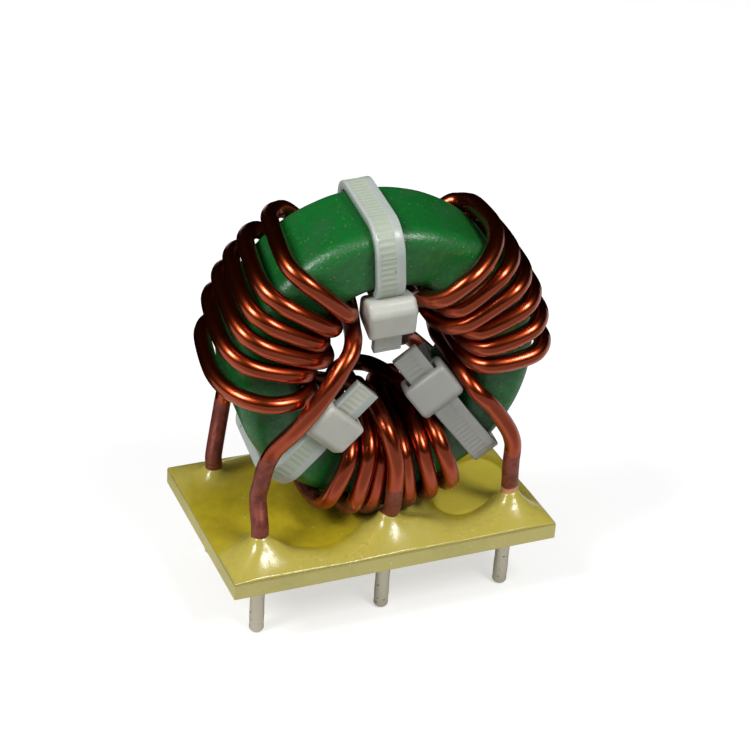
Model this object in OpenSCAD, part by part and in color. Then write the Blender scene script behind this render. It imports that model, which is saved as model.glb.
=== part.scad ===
// Three-winding toroidal choke on a pin base plate.
// X runs along the plate, Y from front to back, Z up. The origin is the middle of the
// pin grid on the underside of the plate, which is the plane that seats on the board.

/* [Core] */
// Outer diameter of the coated ring core
core_od = 28; // [23:0.5:34]
// Bore of the coated ring core
core_id = 16.5; // [15:0.5:20]
// Height of the ring core along its own axis
core_h = 10; // [7:0.5:13]
// Radius on the four edges of the coated core
core_edge = 1.5; // [0.8:0.1:2]
// Clear height between the plate and the core, where the lower winding passes
core_gap = 2.7; // [2.6:0.1:4]
// How far the core sits off the middle of the plate
core_shift = 0.4; // [-1:0.1:1]
// Turn of the core about the vertical, as set by hand
core_yaw = -4.9; // [-6:0.1:0]
// Forward lean of the core, as set by hand
core_lean = 2.4; // [0:0.1:3]

/* [Windings] */
// Diameter of the enamelled wire
wire_d = 1.6; // [1.2:0.05:1.7]
// Turns in each of the three windings
turns = 6; // [3:1:6]
// Air between the wire and the core
lay_gap = 0.05; // [0.02:0.01:0.2]
// Least air between turns that lie side by side in the bore
turn_air = 0.08; // [0.05:0.01:0.2]
// Angle from one turn to the next round the outside of the core
rim_pitch = 10; // [8.5:0.1:11]
// Angle from the edge of the top tie's strap to the middle of the left winding
left_from_tie = 50.8; // [48:0.2:54]
// Angle from the edge of the top tie's strap to the middle of the right winding
right_from_tie = 55.4; // [53:0.2:58]
// Angle of the middle of the lower winding, from +X towards +Z
lower_middle = 273; // [270:1:276]

/* [Cable ties] */
// Width of the strap
strap_w = 2.6; // [2:0.1:3]
// Thickness of the strap
strap_t = 0.85; // [0.8:0.05:1.2]
// Air under the strap where it crosses the core
strap_air = 0.2; // [0.1:0.05:0.4]
// Width of the head across the strap
head_w = 4.4; // [4:0.1:4.8]
// Length of the head along the free end of the strap
head_l = 3.8; // [3.5:0.1:4.5]
// Depth of the head from its back to its front face
head_d = 3.5; // [3:0.1:4]

/* [Base plate] */
// Length of the plate
plate_l = 32; // [29:0.5:40]
// Width of the plate
plate_w = 20; // [17:0.5:26]
// Thickness of the plate
plate_t = 1.6; // [1.2:0.1:2.4]
// Distance between neighbouring pins in a row
pin_pitch = 12.5; // [11:0.5:15]
// How much further apart the front and the back row of pins stand than the core is high
row_clear = 3; // [2.5:0.5:6]
// Air round a wire in its hole
hole_air = 0.15; // [0.1:0.05:0.3]

/* [Pins] */
// Diameter of the stripped and tinned end of the wire
pin_d = 1.4; // [1:0.05:1.5]
// Length of a pin below the plate
pin_out = 6.6; // [3:0.1:9]

/* [Potting] */
// Thickness of the epoxy film over the plate
film = 0.2; // [0.1:0.05:0.4]
// Height of the epoxy cone that creeps up each lead
cone_h = 1.8; // [1:0.1:2.5]
// Reach of an epoxy cone from its lead
cone_reach = 1.6; // [1.2:0.1:2.2]
// Height of the epoxy bank along the front and back rows
bank_h = 0.7; // [0.3:0.1:1.2]

/* [Hidden] */
$fn = 64;

rim_r = core_od / 2;
bore_r = core_id / 2;
core_z = plate_t + core_gap + rim_r;
wire_r = wire_d / 2;
pin_r = pin_d / 2;
row_pitch = core_h + row_clear;

// Angle of the top tie, half the angle that its strap takes up in the bore, and the middles
// of the two windings beside it
top_tie_at = 95.5;
tie_half = asin(strap_w / 2 / bore_r);
left_middle = top_tie_at + tie_half + left_from_tie;
right_middle = top_tie_at - tie_half - right_from_tie;
// How far before its middle each winding's lead runs into the bore
left_entry = 50;
right_entry = 45;
lower_entry = 42.8;

// Where the varnish has run down, a lead's straight foot is this much fatter than the wire
// at the underside of the plate, and it thins by this much towards its top
foot_swell = 0.06;
foot_taper = 0.02;
foot_r = wire_r + foot_swell;
// Height of a lead's straight foot above the plate
foot_h = cone_h + 0.3;
// Air between a lead's foot and the epoxy round it
foot_air = 0.02;

// Sides of a wire, steps along each turn, and steps from one point of a lead to the next
wire_sides = 10;
turn_steps = 20;
lead_steps = 2;

// Half width and half height of a tight turn, from the middle of the core's section
mid_r = (rim_r + bore_r) / 2;
turn_a = (rim_r - bore_r) / 2 + wire_r + lay_gap;
turn_b = core_h / 2 + wire_r + lay_gap;
// A slack turn stands off the rim most at its front: the share of the slack at the rim's middle,
// and what comes and goes towards the front and the back
slack_middle = 0.6;
slack_lean = 0.6;
// How far even a tight turn stands off the core's rim and bore, off its front and off its back
side_off = 0.15;
front_off = 0.3;
back_off = 0.2;
// How far the wire stands off the middle of the core's rounded edges
edge_off = 0.3;
// The corner that the middle of the wire has to clear, from the middle of the core's section
clear_a = (rim_r - bore_r) / 2 - core_edge + (core_edge + wire_r + edge_off) / sqrt(2);
clear_b = core_h / 2 - core_edge + (core_edge + wire_r + edge_off) / sqrt(2);

// Least angle between turns side by side in the bore
bore_pitch = 2 * asin((wire_r + turn_air / 2) / (mid_r - turn_a - side_off));
// How far a turn runs on from the front to the back of the bore, and from the back to the front of the rim
bore_advance = 7;
rim_advance = 4;

// How each turn was laid by hand, from the first to the last of its winding:
// its shift on the rim and in the bore in degrees, how far it stands off the rim and off the
// front of the core, and how far it rides over its neighbours in the bore
left_lay = [
    [1, 0, 0.8, 0.3, 0],
    [2, 0, 0.9, 0.4, 0],
    [0, -0.4, 0.7, 0.2, 0],
    [-2, -2, 0.6, 0.3, 1.3],
    [-3, -3.5, 0.8, 0.2, 0],
    [1, -3.5, 0.9, 1.2, 0.22],
];
right_lay = [
    [0.5, 4, 0.1, 0.5, 0],
    [1.8, 4, 0.1, 0.6, 0],
    [1.8, 4, 0.1, 0.5, 0],
    [0.3, 2.6, 0.2, 0.5, 1.35],
    [-1.3, 0.5, 0.5, 0.4, 0],
    [-3, 7, 1, 1.3, 0],
];
lower_lay = [
    [-1.4, 4.8, 0.1, 0.6, 0],
    [-0.4, 3, 0, 0.7, 1.3],
    [-3.68, 1, 0.1, 0.3, 0],
    [2.2, 1, 0, 0.3, 0],
    [0.4, 0.5, 0.1, 0.4, 0],
    [-1.3, -1, 0.5, 0.9, 0],
];

// ---- Places ----

// A point given in the core's own frame, moved to where the core stands
function stand(p) =
    let (y = p.y * cos(core_lean) - p.z * sin(core_lean))
    let (z = p.y * sin(core_lean) + p.z * cos(core_lean))
    [core_shift + p.x * cos(core_yaw) - y * sin(core_yaw),
     p.x * sin(core_yaw) + y * cos(core_yaw),
     core_z + z];

// Radius, angle and place along the core's axis
function ring(r, angle, y) = stand([r * cos(angle), y, r * sin(angle)]);

// A place in front of the core (side -1) or behind it (side 1): 0 is over the bore's edge
// and 1 over the rim, and lift is the height over the core's flat face
function face(side, across, angle, lift) =
    ring(bore_r + across * (rim_r - bore_r), angle, side * (core_h / 2 + lift));

// A place inside the bore: depth in from its wall, and along from -1 at the front to 1 at the back
function inside(depth, angle, along) = ring(bore_r - depth, angle, along * core_h / 2);

// A place straight above the pin in a column (-1, 0, 1) and a row (-1, 1)
function over_pin(column, row, h) = [column * pin_pitch, row * row_pitch / 2, plate_t + h];

module stand_core() {
    translate([core_shift, 0, core_z]) rotate([core_lean, 0, core_yaw]) children();
}

// ---- Wire ----

function unit(v) = v / norm(v);

function catmull(a, b, c, d, t) =
    0.5 * (2 * b + (c - a) * t + (2 * a - 5 * b + 4 * c - d) * t * t
        + (3 * b - a - 3 * c + d) * t * t * t);

// A smooth line through the points, with a number of steps from each one to the next
function smooth(p, steps) = [
    for (i = [0 : len(p) - 2]) for (j = [0 : steps - 1])
        catmull(p[max(i - 1, 0)], p[i], p[i + 1], p[min(i + 2, len(p) - 1)], j / steps),
    p[len(p) - 1],
];

function tangents(p) = [
    for (i = [0 : len(p) - 1]) unit(p[min(i + 1, len(p) - 1)] - p[max(i - 1, 0)]),
];

// A normal carried along the line without twist
function carry(n, t) = unit(n - (n * t) * t);
function normals(t, first) = [
    for (i = 0, n = carry(first, t[0]); i < len(t); i = i + 1, n = i < len(t) ? carry(n, t[i]) : n) n,
];

module tube(path, r, sides) {
    t = tangents(path);
    n = normals(t, [1, 0.2, 0.1]);
    count = len(path);
    points = [
        for (i = [0 : count - 1]) for (k = [0 : sides - 1])
            let (a = 360 * k / sides)
            path[i] + r * (cos(a) * n[i] + sin(a) * cross(t[i], n[i])),
    ];
    walls = [
        for (i = [0 : count - 2]) for (k = [0 : sides - 1])
            let (m = (k + 1) % sides)
            [i * sides + k, (i + 1) * sides + k, (i + 1) * sides + m, i * sides + m],
    ];
    caps = [
        [for (k = [0 : sides - 1]) k],
        [for (k = [sides - 1 : -1 : 0]) (count - 1) * sides + k],
    ];
    polyhedron(points, concat(walls, caps), convexity = 12);
}

// ---- Turns ----
// A winding is followed by one running angle: 0 is the first turn's rim, 90 its front,
// 180 its bore, 270 its back, and 360 the second turn's rim

function rim_at(middle, lay, i) = middle + (i - (turns - 1) / 2) * rim_pitch + lay[i][0];
function bore_at(middle, lay, i) = middle + (i - (turns - 1) / 2) * bore_pitch + lay[i][1];

// Angle round the core at each corner of each turn's section, with the way in and out
function corners(middle, lay, entry) = [
    [-135, entry + bore_advance],
    [-45, rim_at(middle, lay, 0) - rim_advance],
    for (i = [0 : turns - 1]) each [
        [360 * i + 45, rim_at(middle, lay, i)],
        [360 * i + 135, bore_at(middle, lay, i)],
        if (i < turns - 1) [360 * i + 225, bore_at(middle, lay, i) + bore_advance],
        if (i < turns - 1) [360 * i + 315, rim_at(middle, lay, i + 1) - rim_advance],
    ],
    [360 * turns - 135, bore_at(middle, lay, turns - 1) + bore_advance],
];

// The bend at each corner is spread over one step to either side
function eased(a, table) =
    let (step = 360 / turn_steps)
    (lookup(a - step, table) + 2 * lookup(a, table) + lookup(a + step, table)) / 4;

// A turn's section is a superellipse, as round as it can be with this half width and half
// height before it cuts the core's corner: a power of 2 is an ellipse, a high one a rectangle
function power(half_a, half_b) = ln(2) / sqrt(ln(half_a / clear_a) * ln(half_b / clear_b));
function share(v, square) = sign(v) * pow(abs(v), 2 / square);

function turn_point(a, table, lay) =
    let (near = lay[min(max(round(a / 360), 0), turns - 1)])
    let (this = lay[min(max(floor(a / 360), 0), turns - 1)])
    let (slack = cos(a) > 0 ? near[2] * (slack_middle + slack_lean * sin(a)) : 0)
    let (stack = cos(a) < 0 && a > 0 ? this[4] : 0)
    let (half_a = turn_a + side_off + slack)
    let (half_b = turn_b + (sin(a) > 0 ? front_off + this[3] : back_off))
    let (square = power(half_a, half_b))
    ring(
        mid_r + share(cos(a), square) * (half_a + stack),
        eased(a, table),
        -share(sin(a), square) * half_b
    );

first_angle = -144;
last_angle = 360 * turns - 216;
function turn_points(middle, lay, entry) =
    let (table = corners(middle, lay, entry))
    [for (a = [first_angle : 360 / turn_steps : last_angle]) turn_point(a, table, lay)];

// ---- Routes of the leads ----

left_in = [
    over_pin(-1, -1, foot_h - 1),
    over_pin(-1, -1, foot_h - 0.1),
    over_pin(-1, -1, foot_h + 1.3),
    face(-1, 1.42, 222, 1.7),
    face(-1, 1.19, 217, 2.0),
    face(-1, 0.98, 212, 2.1),
    face(-1, 0.70, 206.5, 2.2),
    face(-1, 0.34, 199, 3.0),
    face(-1, 0.02, 187, 3.6),
    face(-1, -0.18, 173, 3.7),
    face(-1, -0.28, 161, 3.5),
    face(-1, -0.33, 150, 3.1),
    face(-1, -0.37, 140, 2.4),
    face(-1, -0.36, 132, 1.2),
    inside(2.5, left_middle - 26.5, -0.8),
    inside(2.7, left_middle - 33, -0.2),
    inside(2.2, left_middle - 38.5, 0.4),
];
left_out = [
    inside(0.95, left_middle + 31.4, -0.4),
    inside(1.0, left_middle + 33.4, 0.2),
    inside(0.9, left_middle + 35, 0.75),
    face(1, -0.08, left_middle + 36, 0.35),
    face(1, 0.14, left_middle + 37.5, 1.0),
    face(1, 0.45, 197, 1.3),
    face(1, 0.76, 206, 1.6),
    face(1, 1.06, 213.5, 1.9),
    face(1, 1.36, 220, 1.9),
    over_pin(-1, 1, foot_h + 1.1) + [0.05, 0.15, 0],
    over_pin(-1, 1, foot_h + 0.3),
    over_pin(-1, 1, foot_h - 0.4),
    over_pin(-1, 1, foot_h - 1),
];
right_in = [
    over_pin(1, -1, foot_h - 1),
    over_pin(1, -1, foot_h - 0.1),
    over_pin(1, -1, foot_h + 1.1),
    face(-1, 1.56, 316, 1.3),
    face(-1, 1.35, 320, 1.4),
    face(-1, 1.15, 325, 1.5),
    face(-1, 0.93, 329, 1.5),
    face(-1, 0.65, 333, 1.4),
    face(-1, 0.32, 338.5, 1.3),
    face(-1, 0.03, 343.5, 1.0),
    inside(0.9, right_middle - 41, -0.75),
    inside(1.0, right_middle - 40, -0.1),
    inside(1.15, right_middle - 39, 0.45),
];
right_out = [
    inside(1.3, right_middle + 37.5, -0.7),
    inside(2.3, right_middle + 32, -0.4),
    inside(4.0, 48, -0.15),
    inside(5.2, 12, 0.25),
    inside(4.0, 336, 0.65),
    face(1, -0.42, 329, 0.9),
    face(1, -0.1, 325, 1.95),
    face(1, 0.35, 322.5, 2.1),
    face(1, 0.75, 321, 2.1),
    face(1, 1.1, 319.5, 2.0),
    face(1, 1.4, 317, 1.7),
    over_pin(1, 1, foot_h + 1),
    over_pin(1, 1, foot_h - 0.1),
    over_pin(1, 1, foot_h - 1),
];
lower_in = [
    over_pin(0, -1, foot_h - 1),
    over_pin(0, -1, foot_h - 0.1),
    face(-1, 0.88, 272, 2.4),
    face(-1, 0.5, 272, 2.8),
    face(-1, 0.06, 272, 2.9),
    face(-1, -0.27, 270, 2.5),
    face(-1, -0.55, 265, 1.4),
    inside(3.8, 261, -0.8),
    inside(4.0, 256, -0.3),
    inside(3.4, 246.5, 0.15),
    inside(1.9, 238, 0.55),
];
lower_out = [
    inside(1.2, 309.5, -0.6),
    inside(2.5, 303, -0.1),
    inside(2.7, 295, 0.5),
    face(1, -0.36, 285, 0.75),
    face(1, -0.3, 272, 2.0),
    face(1, -0.1, 264, 2.7),
    face(1, 0.2, 262, 2.8),
    face(1, 0.52, 265, 2.9),
    over_pin(0, 1, foot_h + 2.2) + [0.5, 1.7, 0],
    over_pin(0, 1, foot_h + 1.3) + [0.4, 1.2, 0],
    over_pin(0, 1, foot_h + 0.7) + [0.15, 0.55, 0],
    over_pin(0, 1, foot_h + 0.25) + [0, 0.12, 0],
    over_pin(0, 1, foot_h - 0.2),
    over_pin(0, 1, foot_h - 1),
];

// A winding's whole line: lead, turns, lead
function winding_path(lead_in, middle, lay, entry, lead_out) = concat(
    smooth(lead_in, lead_steps),
    turn_points(middle, lay, entry),
    smooth(lead_out, lead_steps)
);

// One winding: the wire, a straight foot through the plate at each end, and the tinned pins
module winding(path, column) {
    tube(path, wire_r, wire_sides);
    for (row = [-1, 1]) translate([column * pin_pitch, row * row_pitch / 2, 0]) {
        cylinder(r1 = foot_r, r2 = foot_r - foot_taper, h = plate_t + foot_h);
        pin();
    }
}

// A round pin from inside the plate down to its rounded tip
module pin() {
    tip_r = pin_r * 0.6;
    translate([0, 0, tip_r - pin_out]) cylinder(r = pin_r, h = pin_out - tip_r + plate_t / 3);
    translate([0, 0, tip_r - pin_out]) rotate_extrude($fn = 32) intersection() {
        union() {
            translate([pin_r - tip_r, 0]) circle(r = tip_r, $fn = 32);
            translate([0, -tip_r]) square([pin_r - tip_r, 2 * tip_r]);
        }
        translate([0, -tip_r]) square([pin_r, tip_r]);
    }
}

module winding_left() {
    color([0.62, 0.22, 0.12])
    winding(winding_path(left_in, left_middle, left_lay, left_middle - left_entry, left_out), -1);
}

module winding_right() {
    color([0.62, 0.22, 0.12])
    winding(winding_path(right_in, right_middle, right_lay, right_middle - right_entry, right_out), 1);
}

module winding_bottom() {
    color([0.55, 0.20, 0.12])
    winding(winding_path(lower_in, lower_middle, lower_lay, lower_middle - lower_entry, lower_out), 0);
}

// ---- Core ----

module core() {
    color([0.10, 0.45, 0.20])
    stand_core() rotate([-90, 0, 0]) rotate_extrude($fn = 96)
        translate([bore_r, -core_h / 2]) rounded_rectangle(rim_r - bore_r, core_h, core_edge);
}

// A rectangle from the origin with its corners rounded by true arcs
module rounded_rectangle(w, h, r) {
    translate([r, 0]) square([w - 2 * r, h]);
    translate([0, r]) square([w, h - 2 * r]);
    for (x = [r, w - r]) for (y = [r, h - r]) translate([x, y]) circle(r = r);
}

// ---- Cable ties ----
// A tie lies in a plane through the core's section. In that plane X runs outwards from the
// core's middle and Y from front to back; side is how far the plane lies off the core's axis.
// loose is how far the strap's bore run stands off the bore at the front, where the head hangs.

module cable_tie(angle, side, loose, head_at, tilt, tail) {
    bore_x = sqrt(pow(bore_r, 2) - pow(abs(side) + strap_w / 2, 2)) - strap_air;
    rim_x = sqrt(pow(rim_r, 2) - pow(max(abs(side) - strap_w / 2, 0), 2)) + strap_air;
    flat_y = core_h / 2 + strap_air;
    // The head's outer back corner is cut away as far as the bore's edge asks at the head's sides
    room_x = sqrt(pow(bore_r, 2) - pow(abs(side) + head_w / 2, 2)) - strap_air;
    stand_core() rotate([0, -angle, 0]) translate([0, 0, side]) {
        linear_extrude(strap_w, center = true) difference() {
            loop_outline(bore_x, rim_x, flat_y, loose, strap_t);
            loop_outline(bore_x, rim_x, flat_y, loose, 0);
        }
        translate([head_at, -flat_y - strap_t / 2]) rotate([0, 0, tilt])
            tie_head(min(room_x - head_at + head_d * (1 - head_front) * sin(tilt), 0), tail);
    }
}

// Outline of the strap's closed loop, grown outwards from its inner side
module loop_outline(bore_x, rim_x, flat_y, loose, grow) {
    r = core_edge + strap_round + grow;
    hull() {
        for (y = [-1, 1]) translate([rim_x + grow - r, y * (flat_y + grow - r)]) circle(r = r, $fn = 32);
        translate([bore_x - grow + r, flat_y + grow - r]) circle(r = r, $fn = 32);
        translate([bore_x - loose - grow + r, -flat_y - grow + r]) circle(r = r, $fn = 32);
    }
}

// The strap is too stiff to follow the core's edges, so its bends are this much rounder
strap_round = 0.45;
// Share of the head's depth that lies in front of the strap
head_front = 0.42;
// Air round the strap in the mouth of the head's slot, and the depth of that mouth
slot_air = 0.3;
slot_depth = 0.8;

// The head with its slot, and the cut end of the strap that stands out of it. The strap goes
// in at the origin and runs along -X, and Y points to the back of the head.
module tie_head(cut, tail) {
    front_y = -head_d * head_front;
    back_y = front_y + head_d;
    difference() {
        intersection() {
            linear_extrude(head_w, center = true) polygon([
                [-head_l, front_y], [-0.8, front_y], [0, front_y + 1],
                [-0.3, strap_t / 2], [cut - 0.3, back_y],
                [-head_l + 0.4, back_y], [-head_l, back_y - 0.7],
            ]);
            rotate([90, 0, 90]) translate([0, 0, -head_l])
                linear_extrude(head_l) head_section(front_y, back_y);
        }
        translate([-head_l - 1, -strap_t / 2 - slot_air, -strap_w / 2 - slot_air])
            cube([1 + slot_depth, strap_t + 2 * slot_air, strap_w + 2 * slot_air]);
    }
    translate([-head_l - tail, -strap_t / 2, -strap_w / 2])
        cube([tail + head_l, strap_t, strap_w]);
}

module head_section(front_y, back_y) {
    bevel = 0.5;
    half = head_w / 2;
    polygon([
        [front_y, -half + 0.15], [front_y + 0.15, -half], [back_y - bevel, -half], [back_y, -half + bevel],
        [back_y, half - bevel], [back_y - bevel, half], [front_y + 0.15, half], [front_y, half - 0.15],
    ]);
}

// How far each lower tie's edge next to the lower winding lies off the core's axis
left_tie_edge = 0.35;
right_tie_edge = 0.6;

module cable_tie_top() {
    color([0.88, 0.88, 0.84]) cable_tie(top_tie_at, 0, 0, 8.2, -16, 2.8);
}

module cable_tie_left() {
    color([0.88, 0.88, 0.84]) cable_tie(228, left_tie_edge - strap_w / 2, 0, 9, 0, 2.9);
}

module cable_tie_right() {
    color([0.88, 0.88, 0.84]) cable_tie(308, right_tie_edge + strap_w / 2, 2, 6.2, -14, 2.6);
}

// ---- Base plate and potting ----

module at_pins() {
    for (x = [-1, 0, 1]) for (y = [-1, 1])
        translate([x * pin_pitch, y * row_pitch / 2, 0]) children();
}

module base_plate() {
    color([0.72, 0.66, 0.25])
    difference() {
        translate([-plate_l / 2, -plate_w / 2, 0]) cube([plate_l, plate_w, plate_t]);
        at_pins() translate([0, 0, -1]) cylinder(r = foot_r + hole_air, h = plate_t + 2);
    }
}

// Height of the epoxy over the plate
function cone_at(x, y) = max([
    for (column = [-1, 0, 1]) for (row = [-1, 1])
        let (d = norm([x - column * pin_pitch, y - row * row_pitch / 2]))
        cone_h * exp(-pow(d / cone_reach, 2)),
]);
function bank_at(y) = bank_h * exp(-pow((abs(y) - row_pitch / 2) / cone_reach, 2));
function epoxy_h(x, y) =
    let (edge = min(plate_l / 2 - abs(x), plate_w / 2 - abs(y)))
    film + max(bank_at(y), cone_at(x, y)) * sqrt(min(max(edge, 0) / epoxy_edge, 1));

// Width of the rounded edge of the epoxy, and its grid
epoxy_edge = 1;
grid_x = 44;
grid_y = 28;

module epoxy() {
    color([0.78, 0.72, 0.30, 0.9])
    difference() {
        translate([0, 0, plate_t]) epoxy_pour();
        at_pins() cylinder(r = foot_r + foot_air, h = plate_t + foot_h + 2);
    }
}

module epoxy_pour() {
    top = [
        for (i = [0 : grid_x]) for (j = [0 : grid_y])
            let (x = (i / grid_x - 0.5) * plate_l)
            let (y = (j / grid_y - 0.5) * plate_w)
            [x, y, epoxy_h(x, y)],
    ];
    row = grid_y + 1;
    base = len(top);
    foot = [for (x = [-0.5, 0.5]) for (y = [-0.5, 0.5]) [x * plate_l, y * plate_w, 0]];
    faces = concat(
        [for (i = [0 : grid_x - 1]) for (j = [0 : grid_y - 1]) each [
            [i * row + j, i * row + j + 1, (i + 1) * row + j + 1],
            [i * row + j, (i + 1) * row + j + 1, (i + 1) * row + j],
        ]],
        [
            [base, base + 2, base + 3, base + 1],
            concat([base], [base + 1], [for (j = [grid_y : -1 : 0]) j]),
            concat([base + 3, base + 2], [for (j = [0 : grid_y]) grid_x * row + j]),
            concat([base + 2, base], [for (i = [0 : grid_x]) i * row]),
            concat([base + 1, base + 3], [for (i = [grid_x : -1 : 0]) i * row + grid_y]),
        ]
    );
    polyhedron(concat(top, foot), faces, convexity = 6);
}

core();
winding_left();
winding_right();
winding_bottom();
cable_tie_top();
cable_tie_left();
cable_tie_right();
base_plate();
epoxy();
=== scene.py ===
# %% [markdown]
# # A toroidal choke on its pin base
# This lesson builds the finish of a small power choke: a coated ring core, three windings of
# enamelled copper wire, three nylon cable ties, a laminate base plate and the epoxy that bonds
# the wires to it. The construction comes packed as a frame of rigid bodies. Each piece below is
# made in the same frame, in millimetres, and turned into metres when its mesh is stored.

# %% Load the frame
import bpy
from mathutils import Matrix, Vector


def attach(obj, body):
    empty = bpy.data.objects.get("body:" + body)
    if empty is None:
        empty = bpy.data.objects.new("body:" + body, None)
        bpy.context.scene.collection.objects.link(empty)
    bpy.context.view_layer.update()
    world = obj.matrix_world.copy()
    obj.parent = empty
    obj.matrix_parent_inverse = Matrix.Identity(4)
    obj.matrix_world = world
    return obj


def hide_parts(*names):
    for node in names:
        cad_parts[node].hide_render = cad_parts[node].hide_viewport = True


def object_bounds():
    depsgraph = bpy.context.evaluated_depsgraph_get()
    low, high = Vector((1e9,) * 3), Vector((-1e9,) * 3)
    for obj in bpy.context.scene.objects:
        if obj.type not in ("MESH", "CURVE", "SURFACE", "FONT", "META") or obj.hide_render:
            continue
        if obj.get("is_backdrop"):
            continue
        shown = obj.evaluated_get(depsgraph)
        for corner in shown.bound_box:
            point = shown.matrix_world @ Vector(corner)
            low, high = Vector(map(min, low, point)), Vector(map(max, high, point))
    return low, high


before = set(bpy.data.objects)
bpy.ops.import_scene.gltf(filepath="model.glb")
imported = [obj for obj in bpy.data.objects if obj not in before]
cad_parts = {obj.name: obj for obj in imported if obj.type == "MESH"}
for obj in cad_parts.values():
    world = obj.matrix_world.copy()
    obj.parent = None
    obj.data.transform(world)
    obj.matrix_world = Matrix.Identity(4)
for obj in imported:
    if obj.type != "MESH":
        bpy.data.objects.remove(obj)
cad_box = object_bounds()
print("nodes:", sorted(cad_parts))

# %% Tools and units
import math

import bmesh
import bpy
import numpy as np
from mathutils import Matrix, Vector, noise

MM = 0.001
scene = bpy.context.scene
print("one millimetre is", MM, "Blender units")

# %% [markdown]
# ## The camera
# Small parts are best shown through a long lens, which keeps parallel edges nearly parallel. It
# stands a little to the left and about thirty degrees above the choke. A constraint could aim
# the camera, but it can't roll it. A Blender camera looks along its own -Z, so a matrix is
# filled with its right, up and back directions, and the small roll turns the first two.

# %% The lens and where it stands
FOCAL_IN_PIXELS = 1971.26
FRAME_IN_PIXELS = 750
SENSOR_MM = 36.0
CAMERA_AZIMUTH = math.radians(-24.5)
CAMERA_ELEVATION = math.radians(30.06)
CAMERA_ROLL = math.radians(3.93)
CAMERA_DISTANCE = 181.84
LOOKED_AT = Vector((0.76, 0.0, 14.85))
CLIP_NEAR, CLIP_FAR = 0.01, 10.0


def direction(azimuth, elevation):
    """The unit vector from the object towards something at these angles."""
    flat = math.cos(elevation)
    return Vector((math.sin(azimuth) * flat, -math.cos(azimuth) * flat, math.sin(elevation)))


print("the camera stands towards", direction(CAMERA_AZIMUTH, CAMERA_ELEVATION))

# %% Place the camera


def make_camera():
    """A camera that looks at the middle of the choke, with a small roll."""
    back = direction(CAMERA_AZIMUTH, CAMERA_ELEVATION)
    level = Vector((math.cos(CAMERA_AZIMUTH), math.sin(CAMERA_AZIMUTH), 0.0))
    above = back.cross(level)
    right = math.cos(CAMERA_ROLL) * level + math.sin(CAMERA_ROLL) * above
    up = back.cross(right)
    lens = bpy.data.cameras.new("camera")
    lens.sensor_width = SENSOR_MM
    lens.lens = FOCAL_IN_PIXELS / FRAME_IN_PIXELS * SENSOR_MM
    lens.clip_start, lens.clip_end = CLIP_NEAR, CLIP_FAR
    camera = bpy.data.objects.new("camera", lens)
    scene.collection.objects.link(camera)
    turned = np.eye(4)
    for column, axis in enumerate((right, up, back)):
        turned[:3, column] = axis
    turned[:3, 3] = (LOOKED_AT + back * CAMERA_DISTANCE) * MM
    camera.matrix_world = Matrix(turned.tolist())
    scene.camera = camera
    return camera


camera = make_camera()
print("lens %.1f mm" % camera.data.lens)

# %% [markdown]
# ## The lamps
# Two softboxes stand in front of the choke, high on the left and high on the right, and nothing
# bright hangs over it. A softbox is an area lamp: its size makes the shadow's edge soft, and it
# is also the streak that a polished wire shows. A sun lamp would give hard edges and no streak.

# %% Hang the softboxes
SOFTBOXES = {
    "left_softbox": dict(azimuth=-78, elevation=46, width=130, height=170, watts=1.15),
    "right_softbox": dict(azimuth=22, elevation=50, width=110, height=150, watts=1.0),
}
SOFTBOX_DISTANCE = 420


def make_softbox(name, azimuth, elevation, width, height, watts):
    """An area lamp that faces the choke from these angles, with its size in millimetres."""
    lamp = bpy.data.lights.new(name, "AREA")
    lamp.shape = "RECTANGLE"
    lamp.size = width * MM
    lamp.size_y = height * MM
    lamp.energy = watts
    box = bpy.data.objects.new(name, lamp)
    scene.collection.objects.link(box)
    out = direction(math.radians(azimuth), math.radians(elevation))
    box.location = (LOOKED_AT + out * SOFTBOX_DISTANCE) * MM
    box.rotation_euler = out.to_track_quat("Z", "Y").to_euler()
    return box


for name, given in SOFTBOXES.items():
    print(name, make_softbox(name, **given).location)

# %% [markdown]
# ## Nodes from a script
# The world, the floor and every finish are trees of shader nodes. They could be wired by hand,
# one node at a time, but that takes a dozen lines for each effect. A few helpers make a node
# with its settings and inputs in one go, so that the later cells read like a recipe.

# %% Make a node
WHITE, BLACK = (1.0, 1.0, 1.0), (0.0, 0.0, 0.0)


def plug(tree, socket, value):
    """Feed a socket from another one, or set it to a number, a vector or a colour."""
    if isinstance(value, bpy.types.NodeSocket):
        tree.links.new(value, socket)
    elif socket.type == "RGBA":
        socket.default_value = (*value, 1.0)
    else:
        socket.default_value = value


def place(tree, kind, inputs=None, **settings):
    """A node with its settings, and with its inputs given by name or by index."""
    made = tree.nodes.new(kind)
    for name, value in settings.items():
        setattr(made, name, value)
    for name, value in (inputs or {}).items():
        plug(tree, made.inputs[name], value)
    return made


print("nodes are made with", place.__name__, "and", plug.__name__)

# %% Numbers, masks and colours


def maths(tree, operation, *values):
    """One operation on one or two values."""
    made = place(tree, "ShaderNodeMath", dict(enumerate(values)), operation=operation)
    return made.outputs[0]


def ramp(tree, value, low, high, out_low=0.0, out_high=1.0):
    """A smooth step from one value to another."""
    return place(tree, "ShaderNodeMapRange", {
        "Value": value, "From Min": low, "From Max": high, "To Min": out_low, "To Max": out_high,
    }, interpolation_type="SMOOTHSTEP").outputs["Result"]


def blend(tree, factor, a, b):
    """A colour mixed from two by a mask. A mix node keeps its colour sockets at 6 and 7."""
    mixed = place(tree, "ShaderNodeMix", {0: factor, 6: a, 7: b}, data_type="RGBA")
    return mixed.outputs[2]


def in_millimetres(tree):
    """The place on the object in millimetres: the pieces lie where they are modelled."""
    at = place(tree, "ShaderNodeTexCoord")
    scaled = place(tree, "ShaderNodeVectorMath", {0: at.outputs["Object"]}, operation="SCALE")
    scaled.inputs["Scale"].default_value = 1 / MM
    return scaled.outputs[0]


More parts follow.
